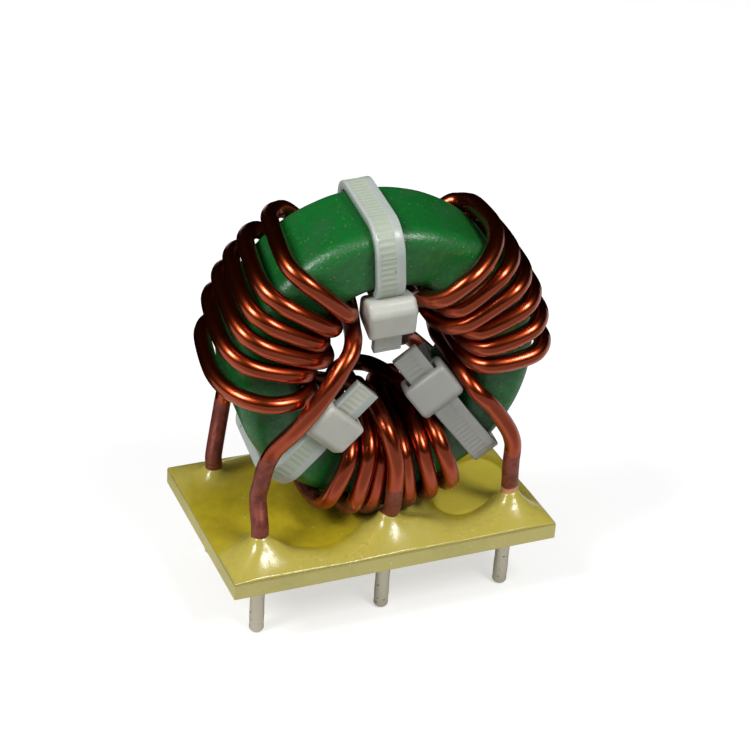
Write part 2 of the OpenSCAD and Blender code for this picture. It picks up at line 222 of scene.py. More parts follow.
def seen_directly(tree, path):
    """One for a ray from the camera or through glass, and zero for light and reflections."""
    through = path.outputs["Is Transmission Ray"]
    return maths(tree, "MAXIMUM", path.outputs["Is Camera Ray"], through)


print("node helpers ready")

# %% [markdown]
# ## The room
# Polished wire is a chain of small mirrors, so it shows the room it stands in. In reflections
# this room is white below the horizon and dark above it, which leaves the wire's colour deep
# between its streaks. Dull surfaces need some light from all round, and get a weak fill that is
# stronger from behind. The backdrop is white where the camera looks straight at it. One world
# can be all three, because Light Path tells the rays apart.

# %% The world
FRONT_FILL, BACK_FILL = 0.2, 0.5
FILL_FROM, FILL_TO = -0.5, 0.8
HORIZON = 0.05
CEILING = 0.0
world = bpy.data.worlds.new("studio")
scene.world = world
world.use_nodes = True
tree = world.node_tree
tree.nodes.clear()
room = place(tree, "ShaderNodeTexCoord")
split = place(tree, "ShaderNodeSeparateXYZ", {0: room.outputs["Generated"]})
fill = ramp(tree, split.outputs["Y"], FILL_FROM, FILL_TO, FRONT_FILL, BACK_FILL)
in_mirrors = ramp(tree, split.outputs["Z"], 0.0, HORIZON, 1.0, CEILING)
path = place(tree, "ShaderNodeLightPath")
lit = place(tree, "ShaderNodeMix", {
    "Factor": path.outputs["Is Glossy Ray"], "A": fill, "B": in_mirrors})
strength = maths(tree, "MAXIMUM", lit.outputs["Result"], seen_directly(tree, path))
shine = place(tree, "ShaderNodeBackground", {"Color": WHITE, "Strength": strength})
place(tree, "ShaderNodeOutputWorld", {"Surface": shine.outputs[0]})
# A light path is only known to a ray that reaches the world by itself, not to a light sample
world.cycles.sampling_method = "NONE"
print("world fill", FRONT_FILL, "to", BACK_FILL, "and ceiling", CEILING)

# %% [markdown]
# ## Mesh helpers
# Every piece here is a skin over rings or over a grid of points. One helper stores such a mesh.
# Marks that a material needs later, such as how far a point lies below the varnish's limit, are
# stored with it as named attributes, so a finish can follow the shape and not only the space.

# %% Store a mesh


def make_piece(name, points, faces, material, slot, marks=None):
    """A smooth-shaded piece from points in millimetres, riding on the rigid frame."""
    mesh = bpy.data.meshes.new(name)
    mesh.from_pydata((np.asarray(points, dtype=float) * MM).tolist(), [], faces)
    for label, values in (marks or {}).items():
        layer = mesh.attributes.new(label, "FLOAT", "POINT")
        layer.data.foreach_set("value", np.asarray(values, dtype=np.float32))
    mesh.polygons.foreach_set("use_smooth", [True] * len(mesh.polygons))
    mesh.update()
    mesh.materials.append(material)
    piece = bpy.data.objects.new(name, mesh)
    scene.collection.objects.link(piece)
    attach(piece, "root")
    return piece


def tell(piece):
    """Say how fine a piece came out."""
    print("%-14s %6d faces" % (piece.name, len(piece.data.polygons)))


print("pieces are made with", make_piece.__name__)

# %% Faces between rings


def band_faces(rings, sides, closed=False):
    """Quads between neighbouring rings of points; an open row of rings gets a cap at each end."""
    faces = []
    for i in range(rings if closed else rings - 1):
        after = (i + 1) % rings
        for k in range(sides):
            m = (k + 1) % sides
            faces.append((i * sides + k, i * sides + m, after * sides + m, after * sides + k))
    if not closed:
        faces.append(tuple(range(sides - 1, -1, -1)))
        faces.append(tuple((rings - 1) * sides + k for k in range(sides)))
    return faces


print("a box has", len(band_faces(2, 4)), "faces")

# %% [markdown]
# ## The places on the choke
# The core leans a little and is turned a little, as it was set by hand. So every place is given
# in the core's own frame, by a radius, an angle and a place along the core's axis, and one
# function stands it up. The sizes are the ones of the construction, written once.

# %% Sizes in millimetres
CORE_OUTER = 14.0
CORE_BORE = 8.25
CORE_H = 10.0
CORE_EDGE = 1.5
CORE_SHIFT = 0.4
CORE_YAW = math.radians(-4.9)
CORE_LEAN = math.radians(2.4)
PLATE = (32.0, 20.0, 1.6)
CORE_CLEARANCE = 2.7
CORE_Z = PLATE[2] + CORE_CLEARANCE + CORE_OUTER
WIRE_R = 0.8
PIN_R = 0.7
PIN_OUT = 6.6
PIN_PITCH = 12.5
ROW_PITCH = 13.0
FOOT_H = 2.1
print("core axis at height", CORE_Z)

# %% Places


def stand(points):
    """Points of the core's own frame, moved to where the core stands."""
    x, y, z = np.moveaxis(np.asarray(points, dtype=float), -1, 0)
    deep = y * math.cos(CORE_LEAN) - z * math.sin(CORE_LEAN)
    high = y * math.sin(CORE_LEAN) + z * math.cos(CORE_LEAN)
    return np.stack([
        CORE_SHIFT + x * math.cos(CORE_YAW) - deep * math.sin(CORE_YAW),
        x * math.sin(CORE_YAW) + deep * math.cos(CORE_YAW),
        CORE_Z + high,
    ], axis=-1)


def ring(radius, angle, along):
    """Radius, angle in degrees from +X towards +Z, and place along the core's axis."""
    a = math.radians(angle)
    return stand([radius * math.cos(a), along, radius * math.sin(a)])


def face(side, across, angle, lift):
    """In front of the core (-1) or behind it (1), from the bore's edge (0) to the rim (1)."""
    return ring(CORE_BORE + across * (CORE_OUTER - CORE_BORE), angle, side * (CORE_H / 2 + lift))


def inside(depth, angle, along):
    """In the bore, at a depth from its wall, from the front (-1) to the back (1)."""
    return ring(CORE_BORE - depth, angle, along * CORE_H / 2)


def over_pin(column, row, height, dx=0.0, dy=0.0):
    """Over a pin's hole, at a height from the plate, moved a little where the wire leans."""
    return np.array([column * PIN_PITCH + dx, row * ROW_PITCH / 2 + dy, PLATE[2] + height])


print("pin row at", over_pin(-1, -1, 0))

# %% [markdown]
# ## The route of the windings
# Each winding is one wire from pin to pin: a lead up from its hole, six turns laid side by side
# round the core, and a lead back down. The turns could be modelled as separate rings, but a
# real coil moves on as it goes round, so one running angle drives the whole line. The section
# of a turn is a superellipse, and small tables hold how each turn was laid by hand.

# %% The section of a turn
LAY_GAP = 0.05
TURN_AIR = 0.08
SIDE_OFF = 0.15
FRONT_OFF = 0.3
BACK_OFF = 0.2
EDGE_OFF = 0.3
MID_R = (CORE_OUTER + CORE_BORE) / 2
TURN_A = (CORE_OUTER - CORE_BORE) / 2 + WIRE_R + LAY_GAP
TURN_B = CORE_H / 2 + WIRE_R + LAY_GAP
CLEAR_EDGE = CORE_EDGE - (CORE_EDGE + WIRE_R + EDGE_OFF) / math.sqrt(2)
CLEAR_A = (CORE_OUTER - CORE_BORE) / 2 - CLEAR_EDGE
CLEAR_B = CORE_H / 2 - CLEAR_EDGE
BORE_PITCH = 2 * math.degrees(math.asin((WIRE_R + TURN_AIR / 2) / (MID_R - TURN_A - SIDE_OFF)))
print("pitch in the bore %.1f degrees" % BORE_PITCH)

# %% How the turns were laid
TURNS = 6
RIM_PITCH = 10.0
SLACK_MIDDLE = 0.6
SLACK_LEAN = 0.6
BORE_ADVANCE = 7.0
RIM_ADVANCE = 4.0
TOP_TIE_AT = 95.5
STRAP_W = 2.6
TIE_HALF = math.degrees(math.asin(STRAP_W / 2 / CORE_BORE))
LEFT_MIDDLE = TOP_TIE_AT + TIE_HALF + 50.8
RIGHT_MIDDLE = TOP_TIE_AT - TIE_HALF - 55.4
LOWER_MIDDLE = 273.0
print("windings at %.1f, %.1f and %.1f degrees" % (LEFT_MIDDLE, RIGHT_MIDDLE, LOWER_MIDDLE))

# %% Each turn by hand
# Each row: shift on the rim, shift in the bore, slack at the rim, slack in front, stacking
LEFT_LAY = [
    [1, 0, 0.8, 0.3, 0],
    [2, 0, 0.9, 0.4, 0],
    [0, -0.4, 0.7, 0.2, 0],
    [-2, -2, 0.6, 0.3, 1.3],
    [-3, -3.5, 0.8, 0.2, 0],
    [1, -3.5, 0.9, 1.2, 0.22],
]
RIGHT_LAY = [
    [0.5, 4, 0.1, 0.5, 0],
    [1.8, 4, 0.1, 0.6, 0],
    [1.8, 4, 0.1, 0.5, 0],
    [0.3, 2.6, 0.2, 0.5, 1.35],
    [-1.3, 0.5, 0.5, 0.4, 0],
    [-3, 7, 1, 1.3, 0],
]
LOWER_LAY = [
    [-1.4, 4.8, 0.1, 0.6, 0],
    [-0.4, 3, 0, 0.7, 1.3],
    [-3.68, 1, 0.1, 0.3, 0],
    [2.2, 1, 0, 0.3, 0],
    [0.4, 0.5, 0.1, 0.4, 0],
    [-1.3, -1, 0.5, 0.9, 0],
]
print(len(LEFT_LAY + RIGHT_LAY + LOWER_LAY), "turns in all")

# %% The corners of the turns
# The running angle is 0 on the rim, 90 in front, 180 in the bore and 270 at the back


def corner_angles(middle, lay, entry):
    """The angle round the core at each of a turn's four corners, by the running angle."""
    rim = [middle + (i - (TURNS - 1) / 2) * RIM_PITCH + lay[i][0] for i in range(TURNS)]
    bore = [middle + (i - (TURNS - 1) / 2) * BORE_PITCH + lay[i][1] for i in range(TURNS)]
    table = [(-135, entry + BORE_ADVANCE), (-45, rim[0] - RIM_ADVANCE)]
    for i in range(TURNS):
        table += [(360 * i + 45, rim[i]), (360 * i + 135, bore[i])]
        if i < TURNS - 1:
            table += [(360 * i + 225, bore[i] + BORE_ADVANCE)]
            table += [(360 * i + 315, rim[i + 1] - RIM_ADVANCE)]
    table += [(360 * TURNS - 135, bore[-1] + BORE_ADVANCE)]
    return zip(*table)


print(len(list(zip(*corner_angles(LOWER_MIDDLE, LOWER_LAY, LOWER_MIDDLE)))), "corners")

# %% The turns
TURN_STEPS = 20
FIRST_ANGLE, LAST_ANGLE = -144, 360 * TURNS - 216
TINY = 1e-9


def share(value, power):
    """How far along its axis a superellipse has got, for a cosine or a sine."""
    return math.copysign(abs(value) ** (2 / power), value) if abs(value) > TINY else 0.0


def turn_points(middle, lay, entry):
    """The line of all six turns, in equal steps of the running angle."""
    at, angles = map(list, corner_angles(middle, lay, entry))
    step = 360 / TURN_STEPS
    points = []
    for k in range(int((LAST_ANGLE - FIRST_ANGLE) / step) + 1):
        a = FIRST_ANGLE + k * step
        nearest = lay[min(max(math.floor(a / 360 + 0.5), 0), TURNS - 1)]
        current = lay[min(max(math.floor(a / 360), 0), TURNS - 1)]
        c, s = math.cos(math.radians(a)), math.sin(math.radians(a))
        slack = nearest[2] * (SLACK_MIDDLE + SLACK_LEAN * s) if c > TINY else 0
        stack = current[4] if c < -TINY and a > 0 else 0
        off = FRONT_OFF + current[3] if s > TINY else BACK_OFF
        half_a = TURN_A + SIDE_OFF + slack
        half_b = TURN_B + off
        # The power at which the section just clears the core's rounded edge
        power = math.log(2) / math.sqrt(math.log(half_a / CLEAR_A) * math.log(half_b / CLEAR_B))
        before, here, after = (np.interp(a + d * step, at, angles) for d in (-1, 0, 1))
        points.append(ring(
            MID_R + share(c, power) * (half_a + stack),
            (before + 2 * here + after) / 4,
            -share(s, power) * half_b,
        ))
    return points


print(len(turn_points(LOWER_MIDDLE, LOWER_LAY, LOWER_MIDDLE)), "points on the turns")

# %% [markdown]
# ## The leads
# A lead climbs from its hole in the plate, passes its neighbours and slips into the bore. It
# could be drawn as a Bezier curve with handles, but a hand-bent wire is easier to follow as a
# list of places that it goes through, each one given from the plate, a face of the core or its
# bore. A smooth line through all the places makes the bends.

# %% The leads of the left winding
left_in = [
    over_pin(-1, -1, FOOT_H - 1),
    over_pin(-1, -1, FOOT_H - 0.1),
    over_pin(-1, -1, FOOT_H + 1.3),
    face(-1, 1.42, 222, 1.7),
    face(-1, 1.19, 217, 2.0),
    face(-1, 0.98, 212, 2.1),
    face(-1, 0.70, 206.5, 2.2),
    face(-1, 0.34, 199, 3.0),
    face(-1, 0.02, 187, 3.6),
    face(-1, -0.18, 173, 3.7),
    face(-1, -0.28, 161, 3.5),
    face(-1, -0.33, 150, 3.1),
    face(-1, -0.37, 140, 2.4),
    face(-1, -0.36, 132, 1.2),
    inside(2.5, LEFT_MIDDLE - 26.5, -0.8),
    inside(2.7, LEFT_MIDDLE - 33, -0.2),
    inside(2.2, LEFT_MIDDLE - 38.5, 0.4),
]
left_out = [
    inside(0.95, LEFT_MIDDLE + 31.4, -0.4),
    inside(1.0, LEFT_MIDDLE + 33.4, 0.2),
    inside(0.9, LEFT_MIDDLE + 35, 0.75),
    face(1, -0.08, LEFT_MIDDLE + 36, 0.35),
    face(1, 0.14, LEFT_MIDDLE + 37.5, 1.0),
    face(1, 0.45, 197, 1.3),
    face(1, 0.76, 206, 1.6),
    face(1, 1.06, 213.5, 1.9),
    face(1, 1.36, 220, 1.9),
    over_pin(-1, 1, FOOT_H + 1.1, 0.05, 0.15),
    over_pin(-1, 1, FOOT_H + 0.3),
    over_pin(-1, 1, FOOT_H - 0.4),
    over_pin(-1, 1, FOOT_H - 1),
]
print(len(left_in), "points in,", len(left_out), "points out")

# %% The leads of the right winding
right_in = [
    over_pin(1, -1, FOOT_H - 1),
    over_pin(1, -1, FOOT_H - 0.1),
    over_pin(1, -1, FOOT_H + 1.1),
    face(-1, 1.56, 316, 1.3),
    face(-1, 1.35, 320, 1.4),
    face(-1, 1.15, 325, 1.5),
    face(-1, 0.93, 329, 1.5),
    face(-1, 0.65, 333, 1.4),
    face(-1, 0.32, 338.5, 1.3),
    face(-1, 0.03, 343.5, 1.0),
    inside(0.9, RIGHT_MIDDLE - 41, -0.75),
    inside(1.0, RIGHT_MIDDLE - 40, -0.1),
    inside(1.15, RIGHT_MIDDLE - 39, 0.45),
]
right_out = [
    inside(1.3, RIGHT_MIDDLE + 37.5, -0.7),
    inside(2.3, RIGHT_MIDDLE + 32, -0.4),
    inside(4.0, 48, -0.15),
    inside(5.2, 12, 0.25),
    inside(4.0, 336, 0.65),
    face(1, -0.42, 329, 0.9),
    face(1, -0.1, 325, 1.95),
    face(1, 0.35, 322.5, 2.1),
    face(1, 0.75, 321, 2.1),
    face(1, 1.1, 319.5, 2.0),
    face(1, 1.4, 317, 1.7),
    over_pin(1, 1, FOOT_H + 1),
    over_pin(1, 1, FOOT_H - 0.1),
    over_pin(1, 1, FOOT_H - 1),
]
print(len(right_in), "points in,", len(right_out), "points out")

# %% The leads of the lower winding
lower_in = [
    over_pin(0, -1, FOOT_H - 1),
    over_pin(0, -1, FOOT_H - 0.1),
    face(-1, 0.88, 272, 2.4),
    face(-1, 0.5, 272, 2.8),
    face(-1, 0.06, 272, 2.9),
    face(-1, -0.27, 270, 2.5),
    face(-1, -0.55, 265, 1.4),
    inside(3.8, 261, -0.8),
    inside(4.0, 256, -0.3),
    inside(3.4, 246.5, 0.15),
    inside(1.9, 238, 0.55),
]
lower_out = [
    inside(1.2, 309.5, -0.6),
    inside(2.5, 303, -0.1),
    inside(2.7, 295, 0.5),
    face(1, -0.36, 285, 0.75),
    face(1, -0.3, 272, 2.0),
    face(1, -0.1, 264, 2.7),
    face(1, 0.2, 262, 2.8),
    face(1, 0.52, 265, 2.9),
    over_pin(0, 1, FOOT_H + 2.2, 0.5, 1.7),
    over_pin(0, 1, FOOT_H + 1.3, 0.4, 1.2),
    over_pin(0, 1, FOOT_H + 0.7, 0.15, 0.55),
    over_pin(0, 1, FOOT_H + 0.25, 0.0, 0.12),
    over_pin(0, 1, FOOT_H - 0.2),
    over_pin(0, 1, FOOT_H - 1),
]
print(len(lower_in), "points in,", len(lower_out), "points out")

# %% One line from pin to pin
LEAD_STEPS = 2


def smooth(points, steps):
    """A line through all the points (Catmull-Rom), with a number of steps between them."""
    p = np.asarray(points)
    p = np.vstack([p[:1], p, p[-1:]])
    line = []
    for i in range(1, len(p) - 2):
        a, b, c, d = p[i - 1:i + 3]
        for t in np.arange(steps) / steps:
            line.append(0.5 * (2 * b + (c - a) * t + (2 * a - 5 * b + 4 * c - d) * t * t
                               + (3 * b - a - 3 * c + d) * t ** 3))
    return np.array(line + [p[-1]])


print("a lead of", len(smooth(lower_in, LEAD_STEPS)), "points")

# %% The three routes
# How far before its middle each winding's wire comes into the bore, in degrees
LEFT_ENTRY, RIGHT_ENTRY, LOWER_ENTRY = 50, 45, 42.8


def winding_route(lead_in, turns, lead_out):
    """The whole line, and for each point 0 on the way in, 1 on the turns, 2 on the way out."""
    first, last = smooth(lead_in, LEAD_STEPS), smooth(lead_out, LEAD_STEPS)
    line = np.vstack([first, turns, last])
    stage = np.repeat([0.0, 1.0, 2.0], [len(first), len(turns), len(last)])
    return line, stage


left_turns = turn_points(LEFT_MIDDLE, LEFT_LAY, LEFT_MIDDLE - LEFT_ENTRY)
right_turns = turn_points(RIGHT_MIDDLE, RIGHT_LAY, RIGHT_MIDDLE - RIGHT_ENTRY)
lower_turns = turn_points(LOWER_MIDDLE, LOWER_LAY, LOWER_MIDDLE - LOWER_ENTRY)
ROUTES = {
    "winding_left": winding_route(left_in, left_turns, left_out),
    "winding_right": winding_route(right_in, right_turns, right_out),
    "winding_bottom": winding_route(lower_in, lower_turns, lower_out),
}
for name, (line, stage) in ROUTES.items():
    length = np.linalg.norm(np.diff(line, axis=0), axis=1).sum()
    print("%-14s %4d points, %.0f mm of wire" % (name, len(line), length))

# %% [markdown]
# ## Shared effects
# Some small effects are needed by every finish here: soft patches where a coat is thicker, tiny
# specks of dust or filler, and a fine relief that breaks up a highlight. Each one is built once
# as a group of shader nodes with named inputs in millimetres, and every material places the
# group with its own values. The groups put out masks and normals only. The shader itself stays
# in the material, where it's easy to find.

# %% Start a group


def start_group(name, inputs, outputs):
    """A group with float inputs and their default values, and its outputs with their types."""
    group = bpy.data.node_groups.new(name, "ShaderNodeTree")
    for label, value in inputs.items():
        socket = group.interface.new_socket(label, in_out="INPUT", socket_type="NodeSocketFloat")
        socket.default_value = value
    for label, kind in outputs.items():
        group.interface.new_socket(label, in_out="OUTPUT", socket_type=kind)
    return group, place(group, "NodeGroupInput"), place(group, "NodeGroupOutput")


print("groups are started with", start_group.__name__)

# %% Patches


def make_patches():
    """Soft cloudy patches: a mask between two levels of a noise."""
    group, given, result = start_group("patches", {
        "Patch Size": 1.0, "Low": 0.45, "High": 0.6, "Seed": 0.0,
    }, {"Mask": "NodeSocketFloat"})
    scale = maths(group, "DIVIDE", 1.0, given.outputs["Patch Size"])
    cloud = place(group, "ShaderNodeTexNoise", {
        "Vector": in_millimetres(group), "Scale": scale, "W": given.outputs["Seed"],
        "Detail": 4.0, "Roughness": 0.6,
    }, noise_dimensions="4D")
    mask = ramp(group, cloud.outputs["Fac"], given.outputs["Low"], given.outputs["High"])
    group.links.new(mask, result.inputs["Mask"])
    return group


patches = make_patches()
print("group", patches.name)

# %% Specks
SPECK_OUTER, SPECK_INNER = 0.08, -0.04


def make_specks():
    """Small round specks, one in a share of the cells. Cell is in mm, Radius a part of a cell."""
    group, given, result = start_group("specks", {
        "Cell": 0.5, "Share": 0.2, "Radius": 0.3, "Seed": 0.0,
    }, {"Mask": "NodeSocketFloat"})
    scale = maths(group, "DIVIDE", 1.0, given.outputs["Cell"])
    cells = place(group, "ShaderNodeTexVoronoi", {
        "Vector": in_millimetres(group), "Scale": scale, "W": given.outputs["Seed"],
    }, voronoi_dimensions="4D")
    drawn = place(group, "ShaderNodeSeparateColor", {"Color": cells.outputs["Color"]})
    chosen = maths(group, "LESS_THAN", drawn.outputs[0], given.outputs["Share"])
    grown = maths(group, "MULTIPLY", given.outputs["Radius"], drawn.outputs[1])
    past_edge = maths(group, "SUBTRACT", cells.outputs["Distance"], grown)
    spot = ramp(group, past_edge, SPECK_OUTER, SPECK_INNER)
    group.links.new(maths(group, "MULTIPLY", chosen, spot), result.inputs["Mask"])
    return group


specks = make_specks()
print("group", specks.name)

# %% Relief


def make_relief():
    """A fine grain on a broad unevenness, both as heights in millimetres."""
    group, given, result = start_group("relief", {
        "Fine Size": 0.2, "Fine Height": 0.005, "Broad Size": 2.0, "Broad Height": 0.03,
        "Extra Height": 0.0,
    }, {"Normal": "NodeSocketVector"})
    where = in_millimetres(group)
    heights = []
    for label, detail in (("Fine", 2.0), ("Broad", 1.0)):
        size = maths(group, "DIVIDE", 1.0, given.outputs[label + " Size"])
        bumps = place(group, "ShaderNodeTexNoise", {
            "Vector": where, "Scale": size, "Detail": detail})
        height = given.outputs[label + " Height"]
        heights.append(maths(group, "MULTIPLY", bumps.outputs["Fac"], height))
    total = maths(group, "ADD", maths(group, "ADD", *heights), given.outputs["Extra Height"])
    bump = place(group, "ShaderNodeBump", {"Height": total, "Strength": 1.0, "Distance": MM})
    group.links.new(bump.outputs["Normal"], result.inputs["Normal"])
    return group


relief = make_relief()
print("group", relief.name)

# %% Put a group in a material


def spaced(named):
    """Python names with _ for a space, as the names of sockets."""
    return {name.replace("_", " "): value for name, value in named.items()}


def use(tree, group, **inputs):
    """The output of a shared group that is placed with its own inputs."""
    return place(tree, "ShaderNodeGroup", spaced(inputs), node_tree=group).outputs[0]


def mark(tree, name):
    """A mark that was stored with the mesh."""
    return place(tree, "ShaderNodeAttribute", attribute_name=name).outputs["Fac"]


def start_material(name, **plain):
    """A Principled material with its plain values set on the shader's own sockets."""
    made = bpy.data.materials.new(name)
    made.use_nodes = True
    tree = made.node_tree
    shader = tree.nodes["Principled BSDF"]
    feed(tree, shader, **plain)
    return made, tree, shader


def feed(tree, shader, **inputs):
    """The shader's own sockets, set or linked by name."""
    for name, value in spaced(inputs).items():
        plug(tree, shader.inputs[name], value)


print("material helpers ready")

# %% [markdown]
# ## The floor
# A plain pale table, wide enough that it fills every view. It is a real diffuse surface, so it
# keeps the soft shadow under the plate. A brighter lamp would make it white, and bleach the
# choke too. So what the lamps leave short of white, more of it far from the choke, is added as a
# glow that only the camera, glass and, for a fifth of it, metal see. No extra light falls on
# the object.

# %% The table's finish
TABLE_GREY = (0.55, 0.55, 0.55)
TABLE_GLOW = 0.56
GLOW_RISES = (130.0, 600.0)
TABLE_IN_METAL = 0.2
table, tree, shader = start_material(
    "table", Base_Color=TABLE_GREY, Emission_Color=WHITE, Roughness=0.9, Specular_IOR_Level=0.0)
path = place(tree, "ShaderNodeLightPath")
in_metal = maths(tree, "MULTIPLY", path.outputs["Is Glossy Ray"], TABLE_IN_METAL)
shown = maths(tree, "MAXIMUM", seen_directly(tree, path), in_metal)
away = place(tree, "ShaderNodeVectorMath", {0: in_millimetres(tree)}, operation="LENGTH")
lacking = ramp(tree, away.outputs["Value"], *GLOW_RISES, TABLE_GLOW, 1.0)
feed(tree, shader, Emission_Strength=maths(tree, "MULTIPLY", shown, lacking))
table.cycles.emission_sampling = "NONE"
print(table.name)

# %% Lay the floor
FLOOR_Z = -PIN_OUT
FLOOR_RADIUS = 1500.0
FLOOR_SIDES = 96


def make_stage(name, corners, finish):
    """One flat face that belongs to the studio and not to the choke."""
    mesh = bpy.data.meshes.new(name)
    mesh.from_pydata((np.array(corners) * MM).tolist(), [], [tuple(range(len(corners)))])
    mesh.materials.append(finish)
    piece = bpy.data.objects.new(name, mesh)
    scene.collection.objects.link(piece)
    piece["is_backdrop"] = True
    return piece


turn = np.linspace(0, 2 * math.pi, FLOOR_SIDES, endpoint=False)
rim = [FLOOR_RADIUS * np.cos(turn), FLOOR_RADIUS * np.sin(turn), np.full(FLOOR_SIDES, FLOOR_Z)]
make_stage("floor", np.stack(rim, axis=1), table)
print("floor at", FLOOR_Z)

# %% [markdown]
# ## The cards
# Studios put dark cards beside shiny metal, so that its edges don't fade into a pale backdrop.
# Real ones have to stay out of the shot. Here they may stand anywhere, because Blender can hide
# them from every ray but a glossy one. Two black cards stand behind the choke and turn the outer
# side of the wire's loops deep brown. A dark grey one lies in front and darkens the lower side
# of the front runs. They take no light from anything dull and throw no shadow.

# %% Cards that only reflections see
CARD_NEAR, CARD_FAR = 30.0, 130.0
CARD_TOP = 48.0
NEAR_ANGLES, FAR_ANGLES = (2, 70), (66, 6)
CARD_LIFT = 0.5
FRONT_NEAR, FRONT_FAR, FRONT_SIDE = 26.0, 300.0, 200.0
FRONT_GREY = 0.36


def make_card(name, corners, grey):
    """A card with a plain glow, hidden from the camera, from diffuse light and from shadows."""
    finish, _, _ = start_material(
        name, Base_Color=BLACK, Emission_Color=WHITE, Emission_Strength=grey,
        Roughness=1.0, Specular_IOR_Level=0.0)
    finish.cycles.emission_sampling = "NONE"
    card = make_stage(name, corners, finish)
    card.visible_camera = card.visible_diffuse = card.visible_shadow = False
    card.visible_transmission = card.visible_volume_scatter = False


low = FLOOR_Z + CARD_LIFT
for side, name in ((-1, "left_card"), (1, "right_card")):
    corners = []
    for far, height, angles in ((CARD_NEAR, low, NEAR_ANGLES), (CARD_FAR, CARD_TOP, FAR_ANGLES)):
        for angle in map(math.radians, angles):
            corners.append((side * far * math.sin(angle), far * math.cos(angle), height))
    make_card(name, corners, 0.0)
make_card("front_card", [
    (-FRONT_SIDE, -FRONT_NEAR, low), (FRONT_SIDE, -FRONT_NEAR, low),
    (FRONT_SIDE, -FRONT_FAR, low), (-FRONT_SIDE, -FRONT_FAR, low),
], FRONT_GREY)
print("cards reach", CARD_FAR, "mm back and", FRONT_FAR, "mm forward")

# %% [markdown]
# ## The core
# The ring is pressed from metal powder and dipped in green epoxy, so it has soft edges, a
# satin skin with a slight orange peel, and small flecks of dust baked into it. A torus or a
# cylinder with a bevel would be too perfect. The section is a rounded rectangle swept round
# the axis in fine steps, and the skin is let in here and there by a few hundredths.

# %% The coated skin
GREEN, THIN_GREEN, GRIT_GREEN = (0.001, 0.140, 0.017), (0.002, 0.118, 0.020), (0.003, 0.085, 0.013)
PALE_FLECK, DARK_FLECK = (0.07, 0.17, 0.03), (0.004, 0.05, 0.012)
SATIN, THIN_SATIN = 0.34, 0.48
SCRATCH_HAZE, GRIT_HAZE = 0.12, 0.1
GRIT_SHARE = 0.5
FLECK_H = 0.01
coating, tree, shader = start_material(
    "core_coating", Metallic=0.0, IOR=1.5, Coat_Weight=0.1, Coat_Roughness=0.3,
    Specular_IOR_Level=0.7)
thin = use(tree, patches, Patch_Size=3.0, Low=0.42, High=0.68, Seed=3.0)
flecks = use(tree, specks, Cell=0.3, Share=0.5, Radius=0.36, Seed=5.0)
dark_flecks = use(tree, specks, Cell=0.8, Share=0.14, Radius=0.3, Seed=9.0)
scratch_field = use(tree, patches, Patch_Size=0.35, Low=0.6, High=0.72, Seed=21.0)
grit = use(tree, patches, Patch_Size=0.42, Low=0.44, High=0.56, Seed=25.0)
green = blend(tree, thin, GREEN, THIN_GREEN)
green = blend(tree, maths(tree, "MULTIPLY", grit, GRIT_SHARE), green, GRIT_GREEN)
green = blend(tree, flecks, green, PALE_FLECK)
green = blend(tree, dark_flecks, green, DARK_FLECK)
rough = ramp(tree, thin, 0.0, 1.0, SATIN, THIN_SATIN)
rough = maths(tree, "ADD", rough, maths(tree, "MULTIPLY", scratch_field, SCRATCH_HAZE))
rough = maths(tree, "ADD", rough, maths(tree, "MULTIPLY", grit, GRIT_HAZE))
normal = use(tree, relief, Fine_Size=0.27, Fine_Height=0.045, Broad_Size=1.6, Broad_Height=0.05,
             Extra_Height=maths(tree, "MULTIPLY", flecks, FLECK_H))
feed(tree, shader, Base_Color=green, Roughness=rough, Normal=normal)
print(coating.name)

# %% The core's section
EDGE_STEPS = 9
FLAT_STEPS = 12
QUARTERS = ((1, 1), (-1, 1), (-1, -1), (1, -1))


def edge_point(quarter, a):
    """A point on the rounded edge of one quarter of the section, at an angle in degrees."""
    half_w, half_h = (CORE_OUTER - CORE_BORE) / 2 - CORE_EDGE, CORE_H / 2 - CORE_EDGE
    a = math.radians(a)
    return np.array([MID_R + quarter[0] * half_w + CORE_EDGE * math.cos(a),
                     quarter[1] * half_h + CORE_EDGE * math.sin(a)])


def core_section():
    """Radius and place along the axis, once round the rounded section."""
    section = []
    for i, quarter in enumerate(QUARTERS):
        section += [edge_point(quarter, 90 * (i + k / EDGE_STEPS)) for k in range(EDGE_STEPS + 1)]
        start, end = section[-1], edge_point(QUARTERS[(i + 1) % 4], 90 * (i + 1))
        section += [start + (end - start) * t / FLAT_STEPS for t in range(1, FLAT_STEPS)]
    return np.array(section)


print("section of", len(core_section()), "points")

# %% The ring
CORE_SEGMENTS = 300
DIP_UNEVENNESS = 0.05
DIP_WAVES = 0.45


def make_core():
    """The section swept round the axis, let in towards its own middle by a slow noise."""
    section = core_section()
    points = []
    for i in range(CORE_SEGMENTS):
        a = 2 * math.pi * i / CORE_SEGMENTS
        for r, y in section:
            there = Vector((r * math.cos(a), y, r * math.sin(a)))
            dip = DIP_UNEVENNESS * (0.5 + 0.5 * noise.noise(there * DIP_WAVES))
            out = Vector((r - MID_R, y)).normalized()
            r_in, y_in = r - out[0] * dip, y - out[1] * dip
            points.append((r_in * math.cos(a), y_in, r_in * math.sin(a)))
    faces = band_faces(CORE_SEGMENTS, len(section), closed=True)
    return make_piece("ring_core", stand(points), faces, coating, "core_coating")


ring_core = make_core()
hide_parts("core")
tell(ring_core)

# %% [markdown]
# ## The enamelled wire
# Magnet wire is copper under a clear film, so the right material is a metal with a copper
# colour and a thin clear coat over it. Near the pins the varnish that was brushed on left a
# dull reddish haze with a ragged upper limit. Below the plate the enamel is stripped and the
# wire is tinned: dull grey with fine dark specks. One material does all three, and marks on the
# mesh say where each begins.

